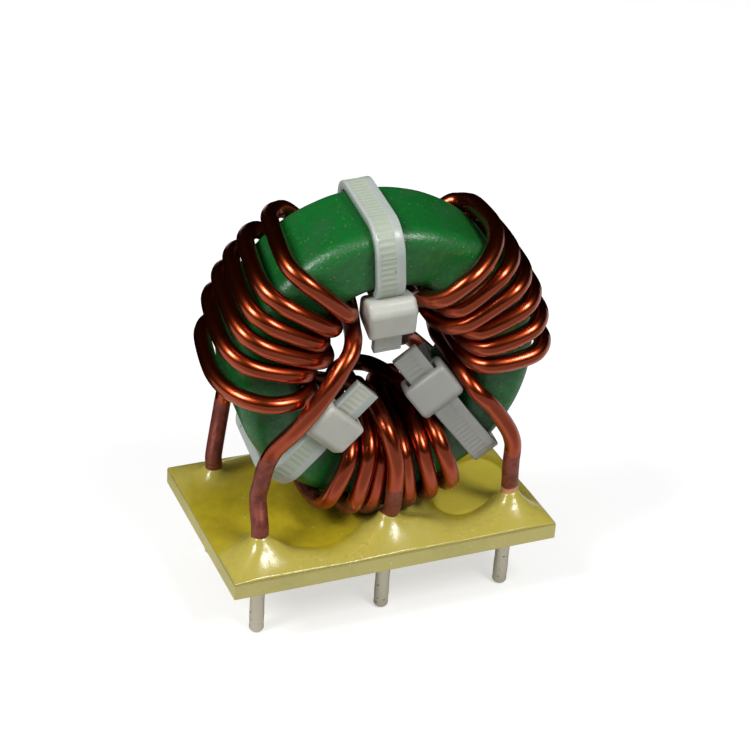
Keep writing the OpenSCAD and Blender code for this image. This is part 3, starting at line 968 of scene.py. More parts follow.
# %% Where the wire is hazed, bare or worn
wire_finish, tree, shader = start_material(
    "enamelled_wire", IOR=1.5, Coat_Roughness=0.14, Coat_IOR=1.5)
RAGGED_FROM, RAGGED_TO = 0.55, 0.8
RAGGED_HAZE, RAGGED_STRIP = 1.2, 0.4
BARE_FROM, BARE_TO = -0.05, 0.1
ragged = use(tree, patches, Patch_Size=1.1, Low=0.3, High=0.75, Seed=2.0)
haze_edge = maths(tree, "ADD", mark(tree, "haze"), maths(tree, "MULTIPLY", ragged, RAGGED_HAZE))
hazed = ramp(tree, haze_edge, RAGGED_FROM, RAGGED_TO)
uneven = maths(tree, "MULTIPLY", ragged, RAGGED_STRIP)
strip_edge = maths(tree, "ADD", mark(tree, "strip"), uneven)
stripped = ramp(tree, strip_edge, RAGGED_FROM, RAGGED_TO)
bare = ramp(tree, mark(tree, "tin"), BARE_FROM, BARE_TO)
mottled = use(tree, patches, Patch_Size=0.7, Low=0.4, High=0.62, Seed=8.0)
worn = use(tree, patches, Patch_Size=0.5, Low=0.66, High=0.74, Seed=31.0)
nicks = use(tree, specks, Cell=1.7, Share=0.10, Radius=0.16, Seed=12.0)
dust = use(tree, specks, Cell=0.8, Share=0.10, Radius=0.10, Seed=14.0)
tin_specks = use(tree, specks, Cell=0.3, Share=0.35, Radius=0.45, Seed=17.0)
print(wire_finish.name, "has its masks")

# %% The wire's colours
COPPER, WORN_COPPER, NICK = (0.43, 0.064, 0.016), (0.33, 0.050, 0.014), (0.03, 0.012, 0.01)
HAZE_RED, DEEP_HAZE = (0.262, 0.062, 0.040), (0.17, 0.038, 0.026)
FRESH_COPPER, WIRE_DUST = (0.78, 0.36, 0.24), (0.5, 0.38, 0.3)
TIN, TIN_SPECK = (0.66, 0.62, 0.50), (0.28, 0.26, 0.21)
tint = blend(tree, worn, COPPER, WORN_COPPER)
tint = blend(tree, nicks, tint, NICK)
tint = blend(tree, hazed, tint, blend(tree, mottled, HAZE_RED, DEEP_HAZE))
tint = blend(tree, stripped, tint, FRESH_COPPER)
tint = blend(tree, dust, tint, WIRE_DUST)
tint = blend(tree, bare, tint, blend(tree, tin_specks, TIN, TIN_SPECK))
feed(tree, shader, Base_Color=tint)
print(wire_finish.name, "has its colours")

# %% The wire's gloss
POLISH, DULLED, WEAR_HAZE = 0.29, 0.48, 0.08
SCRAPED, TINNED = 0.5, 0.48
CLEAR_FILM, DULL_FILM = 0.6, 0.1
DULL_METAL = 0.5
GRAIN_H, NICK_H = 0.02, -0.03
rough = ramp(tree, hazed, 0.0, 1.0, POLISH, DULLED)
rough = maths(tree, "ADD", rough, maths(tree, "MULTIPLY", worn, WEAR_HAZE))
rough = maths(tree, "MAXIMUM", rough, maths(tree, "MULTIPLY", stripped, SCRAPED))
rough = maths(tree, "MAXIMUM", rough, maths(tree, "MULTIPLY", bare, TINNED))
enamel = ramp(tree, hazed, 0.0, 1.0, CLEAR_FILM, DULL_FILM)
film = maths(tree, "MULTIPLY", enamel, ramp(tree, bare, 0.0, 1.0, 1.0, 0.0))
metal = ramp(tree, hazed, 0.0, 1.0, 1.0, DULL_METAL)
metal = maths(tree, "MAXIMUM", metal, bare)
grain = maths(tree, "MULTIPLY", maths(tree, "MAXIMUM", hazed, bare), GRAIN_H)
normal = use(tree, relief, Fine_Size=0.16, Fine_Height=grain, Broad_Size=1.1, Broad_Height=0.02,
             Extra_Height=maths(tree, "MULTIPLY", nicks, NICK_H))
feed(tree, shader, Metallic=metal, Roughness=rough, Coat_Weight=film, Normal=normal)
print(wire_finish.name)

# %% [markdown]
# ## The shape of the wire
# A curve with a round bevel would make a wire from its route. But the ends are not plain: each
# pin has a rounded tip, its tin is a little uneven, and the wire thickens where it enters the
# plate. So the rings are laid along the route one by one, each with its own radius. The first
# ring's normal is carried along without twist, or the tube would pinch where the route turns.

# %% A pin from tip to foot
TIP_R = PIN_R * 0.6
TIP_STEPS = 6
PIN_STEP = 0.35
TIN_WAVE, TIN_WAVES = 0.015, 2.3
FOOT_R = WIRE_R + 0.03


def pin_profile():
    """Height and radius of a lead's straight end, from the pin's tip up to the route's start."""
    profile = []
    for k in range(TIP_STEPS + 1):
        a = math.pi / 2 * k / TIP_STEPS
        profile.append((-PIN_OUT + TIP_R * (1 - math.cos(a)), PIN_R - TIP_R + TIP_R * math.sin(a)))
    for z in np.arange(-PIN_OUT + TIP_R + PIN_STEP, -0.1, PIN_STEP):
        profile.append((z, PIN_R - TIN_WAVE + TIN_WAVE * math.sin(z * TIN_WAVES)))
    profile += [(0.02, PIN_R), (0.3, WIRE_R), (0.9, FOOT_R), (1.5, FOOT_R), (FOOT_H, FOOT_R)]
    return np.array(profile)


print(len(pin_profile()), "rings in a pin")

# %% A wire from tip to tip
WIRE_REFINE = 4


def wire_line(route, stage):
    """Points, radii and stages of the whole wire from tip to tip."""
    line = smooth(route, WIRE_REFINE)
    stage = stage[np.minimum(np.arange(len(line)) // WIRE_REFINE, len(stage) - 1)]
    profile = pin_profile()
    ends = []
    for foot in (line[0], line[-1]):
        straight = np.tile(foot, (len(profile), 1))
        straight[:, 2] = profile[:, 0]
        ends.append(straight)
    points = np.vstack([ends[0], line, ends[1][::-1]])
    radii = np.concatenate([profile[:, 1], np.full(len(line), WIRE_R), profile[::-1, 1]])
    stages = np.concatenate([np.zeros(len(profile)), stage, np.full(len(profile), 2.0)])
    return points, radii, stages


print(len(wire_line(*ROUTES["winding_left"])[0]), "rings in the left wire")

# %% Rings round a line
WIRE_SIDES = 28
FIRST_SIDE = (0.3, 1.0, 0.2)


def tube_rings(points, radii):
    """Rings round a line, with a normal carried along it without twist."""
    ahead = np.gradient(points, axis=0)
    ahead /= np.linalg.norm(ahead, axis=1)[:, None]
    normal = np.cross(ahead[0], FIRST_SIDE)
    around = 2 * math.pi * np.arange(WIRE_SIDES) / WIRE_SIDES
    rings = []
    for here, t, r in zip(points, ahead, radii):
        normal = normal - (normal @ t) * t
        normal /= np.linalg.norm(normal)
        side = np.cross(t, normal)
        circle = np.outer(np.cos(around), normal) + np.outer(np.sin(around), side)
        rings.append(here + r * circle)
    return np.vstack(rings)


print(WIRE_SIDES, "sides round a wire")

# %% Marks on a wire
# How high the dull haze reaches on the lead in, on the turns and on the lead out
HAZE_LIMITS = {
    "winding_left": (12.2, -20.0, 10.0),
    "winding_right": (9.3, -20.0, 9.0),
    "winding_bottom": (7.6, 5.5, 8.0),
}
HAZE_TILT = 0.35
# Only the front lead on the right is scraped to fresh copper, between these heights
STRIP_BAND = (3.6, 4.7)
STRIP_SOFT = 0.4


def wire_marks(node_name, rings, points, stages):
    """How far each point lies below the haze's limit and the plate, and inside the strip."""
    heights = rings[:, 2]
    limits = np.repeat(np.array(HAZE_LIMITS[node_name])[stages.astype(int)], WIRE_SIDES)
    tilt = HAZE_TILT * (rings[:, 1] - np.repeat(points[:, 1], WIRE_SIDES)) / WIRE_R
    band = np.minimum(heights - STRIP_BAND[0], STRIP_BAND[1] - heights) + STRIP_SOFT
    scraped = np.repeat((stages == 0) & (node_name == "winding_right"), WIRE_SIDES)
    return {
        "haze": limits - heights + tilt,
        "tin": -heights,
        "strip": np.where(scraped, np.clip(band, -1, 1), -1),
    }


print("scraped for %.1f mm" % (STRIP_BAND[1] - STRIP_BAND[0]))

# %% Wind the three windings
for node_name, (route, stage) in ROUTES.items():
    points, radii, stages = wire_line(route, stage)
    rings = tube_rings(points, radii)
    piece = make_piece(node_name.replace("winding", "wire"), rings,
                       band_faces(len(points), WIRE_SIDES), wire_finish, "enamelled_wire",
                       wire_marks(node_name, rings, points, stages))
    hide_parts(node_name)
    tell(piece)

# %% [markdown]
# ## The cable ties
# A nylon tie is one moulding: a thin strap with fine cross ridges along its middle and smooth
# borders, and a hollow head that the strap goes through. The strap is swept round the loop that
# it makes about the core's section, with enough steps that the ridges are real shape. Nylon is
# milky and lets light in, so the finish is a subsurface one.

# %% Nylon
MILKY_WHITE, WARM_WHITE, PAINTED_SHOW_THROUGH = (0.575, 0.56, 0.485), (0.49, 0.48, 0.42), (0.40, 0.45, 0.36)
BORDER_GREY, PAINTED_SHADE_GREY, NYLON_DIRT = (0.43, 0.47, 0.44), (0.30, 0.30, 0.28), (0.22, 0.19, 0.14)
BORDER_FROM, BORDER_TO = 0.2, 0.8
WORN_SHINE, BORDER_SHINE, MILKY_HAZE = 0.46, 0.28, 0.08
nylon, tree, shader = start_material(
    "nylon", Metallic=0.0, IOR=1.53, Subsurface_Weight=0.35, Subsurface_Scale=0.0008,
    Subsurface_Radius=(1.0, 0.95, 0.85))
border = mark(tree, "border")
painted_shade = mark(tree, "painted_shade")
thin = mark(tree, "thin")
milky = use(tree, patches, Patch_Size=1.6, Low=0.35, High=0.7, Seed=41.0)
dirt = use(tree, specks, Cell=0.9, Share=0.12, Radius=0.16, Seed=44.0)
white = blend(tree, milky, MILKY_WHITE, WARM_WHITE)
# Painted light: on the strap's loop, and less on its tail, the core's green is painted in as if it
# shone through the nylon
white = blend(tree, thin, white, PAINTED_SHOW_THROUGH)
white = blend(tree, ramp(tree, border, BORDER_FROM, BORDER_TO), white, BORDER_GREY)
# Painted shade: each tie's nylon is greyed by its own mark, as if it sat in shade
white = blend(tree, painted_shade, white, PAINTED_SHADE_GREY)
white = blend(tree, dirt, white, NYLON_DIRT)
rough = ramp(tree, border, 0.0, 1.0, WORN_SHINE, BORDER_SHINE)
rough = maths(tree, "ADD", rough, maths(tree, "MULTIPLY", milky, MILKY_HAZE))
normal = use(tree, relief, Fine_Size=0.14, Fine_Height=0.006, Broad_Size=1.2, Broad_Height=0.02)
feed(tree, shader, Base_Color=white, Roughness=rough, Normal=normal)
print(nylon.name)

# %% Where each tie sits
# The last value of each tie is painted shade: most for the right one, which sits in shade, a little
# for the top one
TIES = {
    "top": dict(angle=TOP_TIE_AT, side=0.0, loose=0.0,
                head_at=8.2, tilt=-16, tail=2.8, painted_shade=0.05),
    "left": dict(angle=228, side=0.35 - STRAP_W / 2, loose=0.0,
                 head_at=9.0, tilt=0, tail=2.9, painted_shade=0.0),
    "right": dict(angle=308, side=0.6 + STRAP_W / 2, loose=2.0,
                  head_at=6.2, tilt=-14, tail=2.6, painted_shade=0.85),
}


def from_tie(points, angle, side):
    """From a tie's own frame (out from the core's middle, front to back, across) to the choke."""
    x, y, z = np.moveaxis(np.asarray(points, dtype=float), -1, 0)
    z = z + side
    c, s = math.cos(math.radians(angle)), math.sin(math.radians(angle))
    return stand(np.stack([x * c - z * s, y, x * s + z * c], axis=-1))


print(len(TIES), "ties")

# %% The bends of a strap
STRAP_T = 0.85
STRAP_AIR = 0.2
STRAP_ROUND = 0.45


def strap_bends(side, loose):
    """The centres of the strap's four bends, and their radius to the middle of the strap."""
    bore_x = math.sqrt(CORE_BORE ** 2 - (abs(side) + STRAP_W / 2) ** 2) - STRAP_AIR
    rim_x = math.sqrt(CORE_OUTER ** 2 - max(abs(side) - STRAP_W / 2, 0) ** 2) + STRAP_AIR
    flat_y = CORE_H / 2 + STRAP_AIR
    r = CORE_EDGE + STRAP_ROUND
    centres = np.array([(rim_x - r, -flat_y + r), (rim_x - r, flat_y - r),
                        (bore_x + r, flat_y - r), (bore_x - loose + r, -flat_y + r)])
    return centres, r + STRAP_T / 2


centres, bend_r = strap_bends(0.0, 0.0)
print("a strap bends at a radius of", bend_r, "mm")

# %% The loop of a strap
STEP = 0.075


def loop_line(side, loose):
    """Points and outward normals along the middle of the strap's thickness, as a closed loop."""
    centres, bend_r = strap_bends(side, loose)
    runs = [centres[(i + 1) % 4] - centres[i] for i in range(4)]
    turned = [math.atan2(-run[0], run[1]) for run in runs]
    points, normals = [], []
    for i, run in enumerate(runs):
        start, end = turned[i - 1], turned[i]
        while end < start:
            end += 2 * math.pi
        steps = max(2, int((end - start) * bend_r / STEP))
        for a in np.linspace(start, end, steps, endpoint=False):
            n = np.array([math.cos(a), math.sin(a)])
            points.append(centres[i] + bend_r * n)
            normals.append(n)
        n = np.array([math.cos(end), math.sin(end)])
        steps = max(2, int(np.linalg.norm(run) / STEP))
        for t in np.arange(steps) / steps:
            points.append(centres[i] + bend_r * n + run * t)
            normals.append(n)
    return np.array(points), np.array(normals)


points, normals = loop_line(0.0, 0.0)
print("a loop of", len(points), "steps")

# %% [markdown]
# ## The ridges
# The ratchet of a tie bites into cross ridges that are moulded along the middle of its strap. A
# bump in the material could fake them, but they show in the strap's outline where it bends, so
# they are real. Each point of the section says whether it takes part, and a wave that follows
# the way run along the strap lets those points in.

# %% The strap's section
NARROW_BORDER, WIDE_BORDER = 0.28, 0.8
CORNER = 0.12
CORNER_MIDDLE = CORNER * 0.3
RIDGE_END = 0.08
BORDER_POINT = 0.1


def strap_section(borders):
    """Across and out of the strap, anticlockwise, with how much of the ridges each point takes."""
    half_w, half_t = STRAP_W / 2, STRAP_T / 2
    low, high = -half_w + borders[0], half_w - borders[1]
    first, last = high - RIDGE_END, low + RIDGE_END
    outer = [(half_w - CORNER, 0), (high + BORDER_POINT, 0), (high, 0), (first, 1)]
    outer += [(first + (last - first) * t, 1) for t in (0.25, 0.5, 0.75)]
    outer += [(last, 1), (low, 0), (low - RIDGE_END, 0), (-half_w + CORNER, 0)]
    section = [(w, half_t, ridged) for w, ridged in outer]
    section += [(-half_w + CORNER_MIDDLE, half_t - CORNER_MIDDLE, 0),
                (-half_w, half_t - CORNER, 0),
                (-half_w, -half_t + CORNER, 0), (-half_w + CORNER, -half_t, 0),
                (half_w - CORNER, -half_t, 0), (half_w, -half_t + CORNER, 0),
                (half_w, half_t - CORNER, 0),
                (half_w - CORNER_MIDDLE, half_t - CORNER_MIDDLE, 0)]
    return np.array(section)


print("strap section of", len(strap_section((NARROW_BORDER, WIDE_BORDER))), "points")

# %% The ridged strap
RIDGE_PITCH = 0.53
RIDGE_DEPTH = 0.05
RIDGE_FULLNESS = 0.7


def strap_rings(points, normals, borders):
    """Rings of the strap's section along a flat line, with the ridges let in by the way run."""
    section = strap_section(borders)
    run = np.concatenate([[0], np.cumsum(np.linalg.norm(np.diff(points, axis=0), axis=1))])
    rings, border = [], []
    for here, n, s in zip(points, normals, run):
        wave = 0.5 - 0.5 * math.cos(2 * math.pi * s / RIDGE_PITCH)
        lift = section[:, 1] - section[:, 2] * RIDGE_DEPTH * wave ** RIDGE_FULLNESS
        flat = here + np.outer(lift, n)
        rings.append(np.column_stack([flat, section[:, 0]]))
        border.append(1 - section[:, 2])
    return np.vstack(rings), np.concatenate(border), len(section)


print("ridges every", RIDGE_PITCH, "mm")

# %% [markdown]
# ## The head of a tie
# The head is a small box with a slot for the tail. It could be cut out of a cube with booleans,
# but a boolean leaves long thin faces that a bevel can't round. So its few faces are built by
# hand, with the mouth of the slot among them, and only the outer edges are bevelled.

# %% The head from the side
HEAD_W, HEAD_L, HEAD_D = 4.4, 3.8, 3.5
HEAD_FRONT = 0.42
HEAD_START = 0.3
# How much its two slanted corners take off, along the strap and front to back
NOSE, HEEL = (0.8, 1.0), (0.4, 0.7)


def head_outline(cut):
    """The head seen from the side, in the strap's frame: along the strap, and front to back."""
    front = -HEAD_D * HEAD_FRONT
    back = front + HEAD_D
    return [(-HEAD_L, front), (-NOSE[0], front), (0.0, front + NOSE[1]),
            (-HEAD_START, STRAP_T / 2), (cut - HEAD_START, back),
            (-HEAD_L + HEEL[0], back), (-HEAD_L, back - HEEL[1])]


print("a head's side has", len(head_outline(0.0)), "corners")

# %% The head as a block
SLOT_AIR = 0.3
SLOT_DEPTH = 0.8
MOUTH_Y, MOUTH_Z = STRAP_T / 2 + SLOT_AIR, STRAP_W / 2 + SLOT_AIR


def head_block(cut):
    """The head with its slot's mouth and sharp edges, and the rim of the face round the mouth."""
    outline = head_outline(cut)
    half = HEAD_W / 2
    block = bmesh.new()
    sides = [[block.verts.new((x, y, z)) for x, y in outline] for z in (-half, half)]
    count = len(outline)
    block.faces.new(sides[0][::-1])
    block.faces.new(sides[1])
    for i in range(count - 1):
        block.faces.new((sides[0][i], sides[0][i + 1], sides[1][i + 1], sides[1][i]))
    corners = [(-MOUTH_Y, -MOUTH_Z), (-MOUTH_Y, MOUTH_Z), (MOUTH_Y, MOUTH_Z), (MOUTH_Y, -MOUTH_Z)]
    lip = [block.verts.new((-HEAD_L, y, z)) for y, z in corners]
    floor_of_slot = [block.verts.new((-HEAD_L + SLOT_DEPTH, y, z)) for y, z in corners]
    rim = [sides[0][0], sides[1][0], sides[1][-1], sides[0][-1]]
    for i in range(4):
        j = (i + 1) % 4
        block.faces.new((rim[i], rim[j], lip[j], lip[i]))
        block.faces.new((lip[i], lip[j], floor_of_slot[j], floor_of_slot[i]))
    block.faces.new(floor_of_slot)
    bmesh.ops.recalc_face_normals(block, faces=block.faces)
    return block, rim


print("the slot's mouth is %.1f x %.1f mm" % (2 * MOUTH_Y, 2 * MOUTH_Z))

# %% The rounded head
HEAD_ROUND, ROUND_STEPS = 0.42, 5
SHARP = 0.35
NEAR = 1e-4


def is_outer(edge, rim):
    """Whether an edge of the block is to be rounded: a sharp one that isn't the slot's."""
    on_side = all(abs(abs(v.co.z) - HEAD_W / 2) < NEAR or v in rim for v in edge.verts)
    round_mouth = all(abs(v.co.x + HEAD_L) < NEAR and v not in rim for v in edge.verts)
    in_slot = any(v.co.x > -HEAD_L + NEAR and abs(v.co.y) < MOUTH_Y + NEAR
                  and abs(abs(v.co.z) - MOUTH_Z) < NEAR for v in edge.verts)
    return (on_side or edge.calc_face_angle(0) > SHARP) and not round_mouth and not in_slot


def make_head(cut):
    """Points and faces of the rounded head. The faces are sorted, so each run gives the same."""
    block, rim = head_block(cut)
    outer = [edge for edge in block.edges if is_outer(edge, rim)]
    bmesh.ops.bevel(block, geom=outer, offset=HEAD_ROUND, segments=ROUND_STEPS, profile=0.5,
                    affect="EDGES", clamp_overlap=True)
    bmesh.ops.triangulate(block, faces=[f for f in block.faces if len(f.verts) > 4])
    block.verts.index_update()
    points = np.array([v.co[:] for v in block.verts])
    faces = sorted(tuple(v.index for v in f.verts) for f in block.faces)
    block.free()
    return points, faces


points, faces = make_head(0.0)
print("head of", len(points), "points")

# %% The loop, the tail and the head of one tie
HEAD_SHINE = 0.45


def turn_about(points, angle):
    """Points turned in the plane of the strap's loop."""
    c, s = math.cos(math.radians(angle)), math.sin(math.radians(angle))
    turned = np.array(points, dtype=float)
    turned[:, 0] = points[:, 0] * c - points[:, 1] * s
    turned[:, 1] = points[:, 0] * s + points[:, 1] * c
    return turned


def tie_parts(borders, side, loose, head_at, tilt, tail):
    """Points, faces and border marks of the loop, of the tail and of the head."""
    points, normals = loop_line(side, loose)
    rings, border, sides = strap_rings(points, normals, borders)
    parts = [(rings, band_faces(len(points), sides, closed=True), border)]
    run = np.arange(0, tail + HEAD_L - HEAD_START + STEP / 2, STEP)
    line = np.column_stack([-HEAD_START - run, np.zeros(len(run))])
    rings, border, sides = strap_rings(line, np.tile([0.0, -1.0], (len(run), 1)), borders)
    room_x = math.sqrt(CORE_BORE ** 2 - (abs(side) + HEAD_W / 2) ** 2) - STRAP_AIR
    cut = min(room_x - head_at + HEAD_D * (1 - HEAD_FRONT) * math.sin(math.radians(tilt)), 0)
    head, head_faces = make_head(cut)
    for points, faces, border in ((rings, band_faces(len(run), sides), border),
                                  (head, head_faces, np.full(len(head), HEAD_SHINE))):
        moved = turn_about(points, tilt)
        moved[:, :2] += (head_at, -(CORE_H / 2 + STRAP_AIR) - STRAP_T / 2)
        parts.append((moved, faces, border))
    return parts


tried = tie_parts((NARROW_BORDER, WIDE_BORDER), 0.0, 0.0, 9.0, 0, 2.9)
print("points of a loop, a tail and a head:", [len(part[0]) for part in tried])

# %% Put the ties on
# How much of the core's green is painted into the loop, the tail and the head, as if it shone
# through
LOOP_SHOW_THROUGH, TAIL_SHOW_THROUGH, HEAD_SHOW_THROUGH = 1.0, 0.4, 0.0
FLAT_FACE = 0.6 * MM * MM


def make_tie(name, angle, side, painted_shade, **shape):
    """One tie in one mesh. The large faces of its head are flat, and all else is smooth."""
    borders = (WIDE_BORDER, NARROW_BORDER) if name == "top" else (NARROW_BORDER, WIDE_BORDER)
    parts = tie_parts(borders, side, **shape)
    counts = [len(part[0]) for part in parts]
    starts = np.cumsum([0] + counts)
    faces = []
    for part, start in zip(parts, starts):
        faces += [tuple(int(i + start) for i in corners) for corners in part[1]]
    points = from_tie(np.vstack([part[0] for part in parts]), angle, side)
    tie = make_piece("tie_" + name, points, faces, nylon, "nylon", {
        "border": np.concatenate([part[2] for part in parts]),
        "thin": np.repeat((LOOP_SHOW_THROUGH, TAIL_SHOW_THROUGH, HEAD_SHOW_THROUGH), counts),
        "painted_shade": np.full(len(points), painted_shade),
    })
    flat = [p.vertices[0] >= starts[2] and p.area > FLAT_FACE for p in tie.data.polygons]
    tie.data.polygons.foreach_set("use_smooth", [not f for f in flat])
    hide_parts("cable_tie_" + name)
    return tie


for name, given in TIES.items():
    tell(make_tie(name, **given))

# %% [markdown]
# ## The base plate
# The plate is sawn from a sheet of fibre laminate and drilled. It could be a cube with six
# booleans and a bevel. A filled 2D curve makes the same plate in one go: an outline, six holes
# and a hair of bevel where the saw and drill left it. Its caps and sides are joined afterwards.

# %% Laminate
RESIN, CLOUDED_RESIN, STRAND = (0.55, 0.48, 0.15), (0.46, 0.41, 0.12), (0.55, 0.50, 0.22)
LAYER, CRUMB, GLUE_LINE = (0.24, 0.20, 0.05), (0.62, 0.58, 0.34), (0.13, 0.10, 0.02)
GLUE_FROM, GLUE_TO = 1.44, 1.54
STRAND_SHARE, LAYER_SHARE, GLUE_SHARE = 0.35, 0.07, 0.5
SAWN, ROUGH_STRANDS = 0.42, 0.6
laminate, tree, shader = start_material("plate_laminate", Metallic=0.0, IOR=1.5)
at = place(tree, "ShaderNodeSeparateXYZ", {0: in_millimetres(tree)})
strands = use(tree, patches, Patch_Size=0.45, Low=0.35, High=0.7, Seed=51.0)
clouds = use(tree, patches, Patch_Size=4.0, Low=0.35, High=0.7, Seed=53.0)
crumbs = use(tree, specks, Cell=0.5, Share=0.3, Radius=0.3, Seed=57.0)
layers = place(tree, "ShaderNodeTexWave", {
    "Vector": in_millimetres(tree), "Scale": 1.3, "Distortion": 1.5, "Detail": 2.0,
    "Detail Scale": 0.6,
}, bands_direction="Z")
resin = blend(tree, clouds, RESIN, CLOUDED_RESIN)
resin = blend(tree, maths(tree, "MULTIPLY", strands, STRAND_SHARE), resin, STRAND)
layered = maths(tree, "MULTIPLY", layers.outputs["Fac"], LAYER_SHARE)
resin = blend(tree, layered, resin, LAYER)
resin = blend(tree, crumbs, resin, CRUMB)
glue_line = ramp(tree, at.outputs[2], GLUE_FROM, GLUE_TO)
resin = blend(tree, maths(tree, "MULTIPLY", glue_line, GLUE_SHARE), resin, GLUE_LINE)
rough = ramp(tree, strands, 0.0, 1.0, SAWN, ROUGH_STRANDS)
normal = use(tree, relief, Fine_Size=0.18, Fine_Height=0.03, Broad_Size=1.2, Broad_Height=0.03)
feed(tree, shader, Base_Color=resin, Roughness=rough, Normal=normal)
print(laminate.name)

# %% Mark out the plate
PLATE_BEVEL = 0.07
HOLE_R = 1.01
HOLE_STEPS = 48


def plate_outlines():
    """The plate's edge and its six holes, each let in by the bevel that is added to it."""
    half_x, half_y = PLATE[0] / 2 - PLATE_BEVEL, PLATE[1] / 2 - PLATE_BEVEL
    outlines = [[(-half_x, -half_y), (half_x, -half_y), (half_x, half_y), (-half_x, half_y)]]
    turn = np.linspace(0, 2 * math.pi, HOLE_STEPS, endpoint=False)
    for column in (-1, 0, 1):
        for row in (-1, 1):
            x, y = column * PIN_PITCH, row * ROW_PITCH / 2
            r = HOLE_R + PLATE_BEVEL
            outlines.append(list(zip(x + r * np.cos(turn), y + r * np.sin(turn))))
    return outlines


print(len(plate_outlines()) - 1, "holes to drill")

# %% Draw the plate


def draw_plate():
    """A 2D curve that fills itself between its outlines and has a thickness and a bevel."""
    curve = bpy.data.curves.new("base_plate_outline", "CURVE")
    curve.dimensions = "2D"
    curve.fill_mode = "BOTH"
    curve.extrude = (PLATE[2] / 2 - PLATE_BEVEL) * MM
    curve.bevel_depth = PLATE_BEVEL * MM
    curve.bevel_resolution = 2
    for outline in plate_outlines():
        spline = curve.splines.new("POLY")
        spline.points.add(len(outline) - 1)
        for point, (x, y) in zip(spline.points, outline):
            point.co = (x * MM, y * MM, 0, 1)
        spline.use_cyclic_u = True
    drawn = bpy.data.objects.new("outline", curve)
    scene.collection.objects.link(drawn)
    return drawn


print("bevel of", PLATE_BEVEL, "mm")

# %% Saw and drill it


def make_plate():
    """The drawn plate as a mesh that stands on its underside."""
    drawn = draw_plate()
    built = drawn.evaluated_get(bpy.context.evaluated_depsgraph_get())
    solid = bpy.data.meshes.new_from_object(built)
    points = np.array([v.co[:] for v in solid.vertices]) / MM + (0, 0, PLATE[2] / 2)
    faces = [tuple(p.vertices) for p in solid.polygons]
    bpy.data.objects.remove(drawn)
    return make_piece("plate", points, faces, laminate, "plate_laminate")


plate = make_plate()
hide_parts("base_plate")
tell(plate)

# %% Join its seams
SEAM = 1e-6
FLAT_PART = 0.3 * MM * MM
work = bmesh.new()
work.from_mesh(plate.data)
bmesh.ops.remove_doubles(work, verts=work.verts, dist=SEAM)
bmesh.ops.recalc_face_normals(work, faces=work.faces)
work.to_mesh(plate.data)
work.free()
small = [p.area < FLAT_PART for p in plate.data.polygons]
plate.data.polygons.foreach_set("use_smooth", small)
print(small.count(False), "flat faces")

# %% [markdown]
# ## The potting epoxy
# The epoxy is a clear yellow where it lies thin in a pool. Where it stands up in a bank it is
# paler and cloudy, with wisps and small bubbles in it. Glass with a colour inside would be
# slow and hard to steer. A subsurface finish lets a little light in, a thin clear coat gives
# the wet shine, and marks on the mesh tell the pools from the banks.

# %% Epoxy
POOL, DEEP_POOL, PAINTED_LIT_POOL = (0.42, 0.33, 0.015), (0.36, 0.275, 0.012), (0.66, 0.55, 0.060)
CLOUDY, WISP, BUBBLE = (0.46, 0.39, 0.072), (0.40, 0.335, 0.048), (0.56, 0.52, 0.22)
WISPY, BUBBLED = 0.15, 0.7
BANK_FROM, BANK_TO = 0.1, 0.95
SHORE_FROM, SHORE_TO = 0.3, 0.7
WET, CLOUDY_WET = 0.2, 0.42
FULL_WISPS = 0.7
BANK_GRAIN = 0.007
potting, tree, shader = start_material(
    "potting_epoxy", Metallic=0.0, IOR=1.54, Coat_Weight=0.22, Coat_Roughness=0.14,
    Subsurface_Weight=0.12, Subsurface_Scale=0.0006, Subsurface_Radius=(1.0, 0.9, 0.35))
clouds = use(tree, patches, Patch_Size=1.1, Low=0.38, High=0.66, Seed=61.0)
wisps = use(tree, patches, Patch_Size=0.4, Low=0.45, High=0.7, Seed=63.0)
bubbles = use(tree, specks, Cell=0.42, Share=0.2, Radius=0.3, Seed=67.0)
bank = mark(tree, "bank")
bright = mark(tree, "bright")
pool = blend(tree, clouds, POOL, DEEP_POOL)
# The oval pool is a clearer yellow, and its colour is raised further with painted light where the
# right lamp falls on it
pool = blend(tree, ramp(tree, bright, SHORE_FROM, SHORE_TO), pool, PAINTED_LIT_POOL)
cloudy = blend(tree, wisps, CLOUDY, WISP)
clouded_bank = maths(tree, "ADD", bank, maths(tree, "MULTIPLY", clouds, WISPY))
body = blend(tree, ramp(tree, clouded_bank, BANK_FROM, BANK_TO), pool, cloudy)
body = blend(tree, maths(tree, "MULTIPLY", bubbles, BUBBLED), body, BUBBLE)
rough = ramp(tree, maths(tree, "MULTIPLY", wisps, bank), 0.0, FULL_WISPS, WET, CLOUDY_WET)
normal = use(tree, relief, Fine_Size=0.22,
             Fine_Height=maths(tree, "MULTIPLY", bank, BANK_GRAIN),
             Broad_Size=2.6, Broad_Height=0.025)
feed(tree, shader, Base_Color=body, Roughness=rough, Normal=normal)
print(potting.name)

# %% [markdown]
# ## The surface of the epoxy
# The epoxy was poured by hand. It lies thin and flat in pools, stands up in banks along the
# rows of pins, and creeps up each lead in a hollow cone. Sculpted lumps would look like clay,
# because a liquid has smooth hollow edges. A grid of heights can say all that: signed distances
# to the edges of the pools, an exponential round each lead, and a slow noise on the banks.

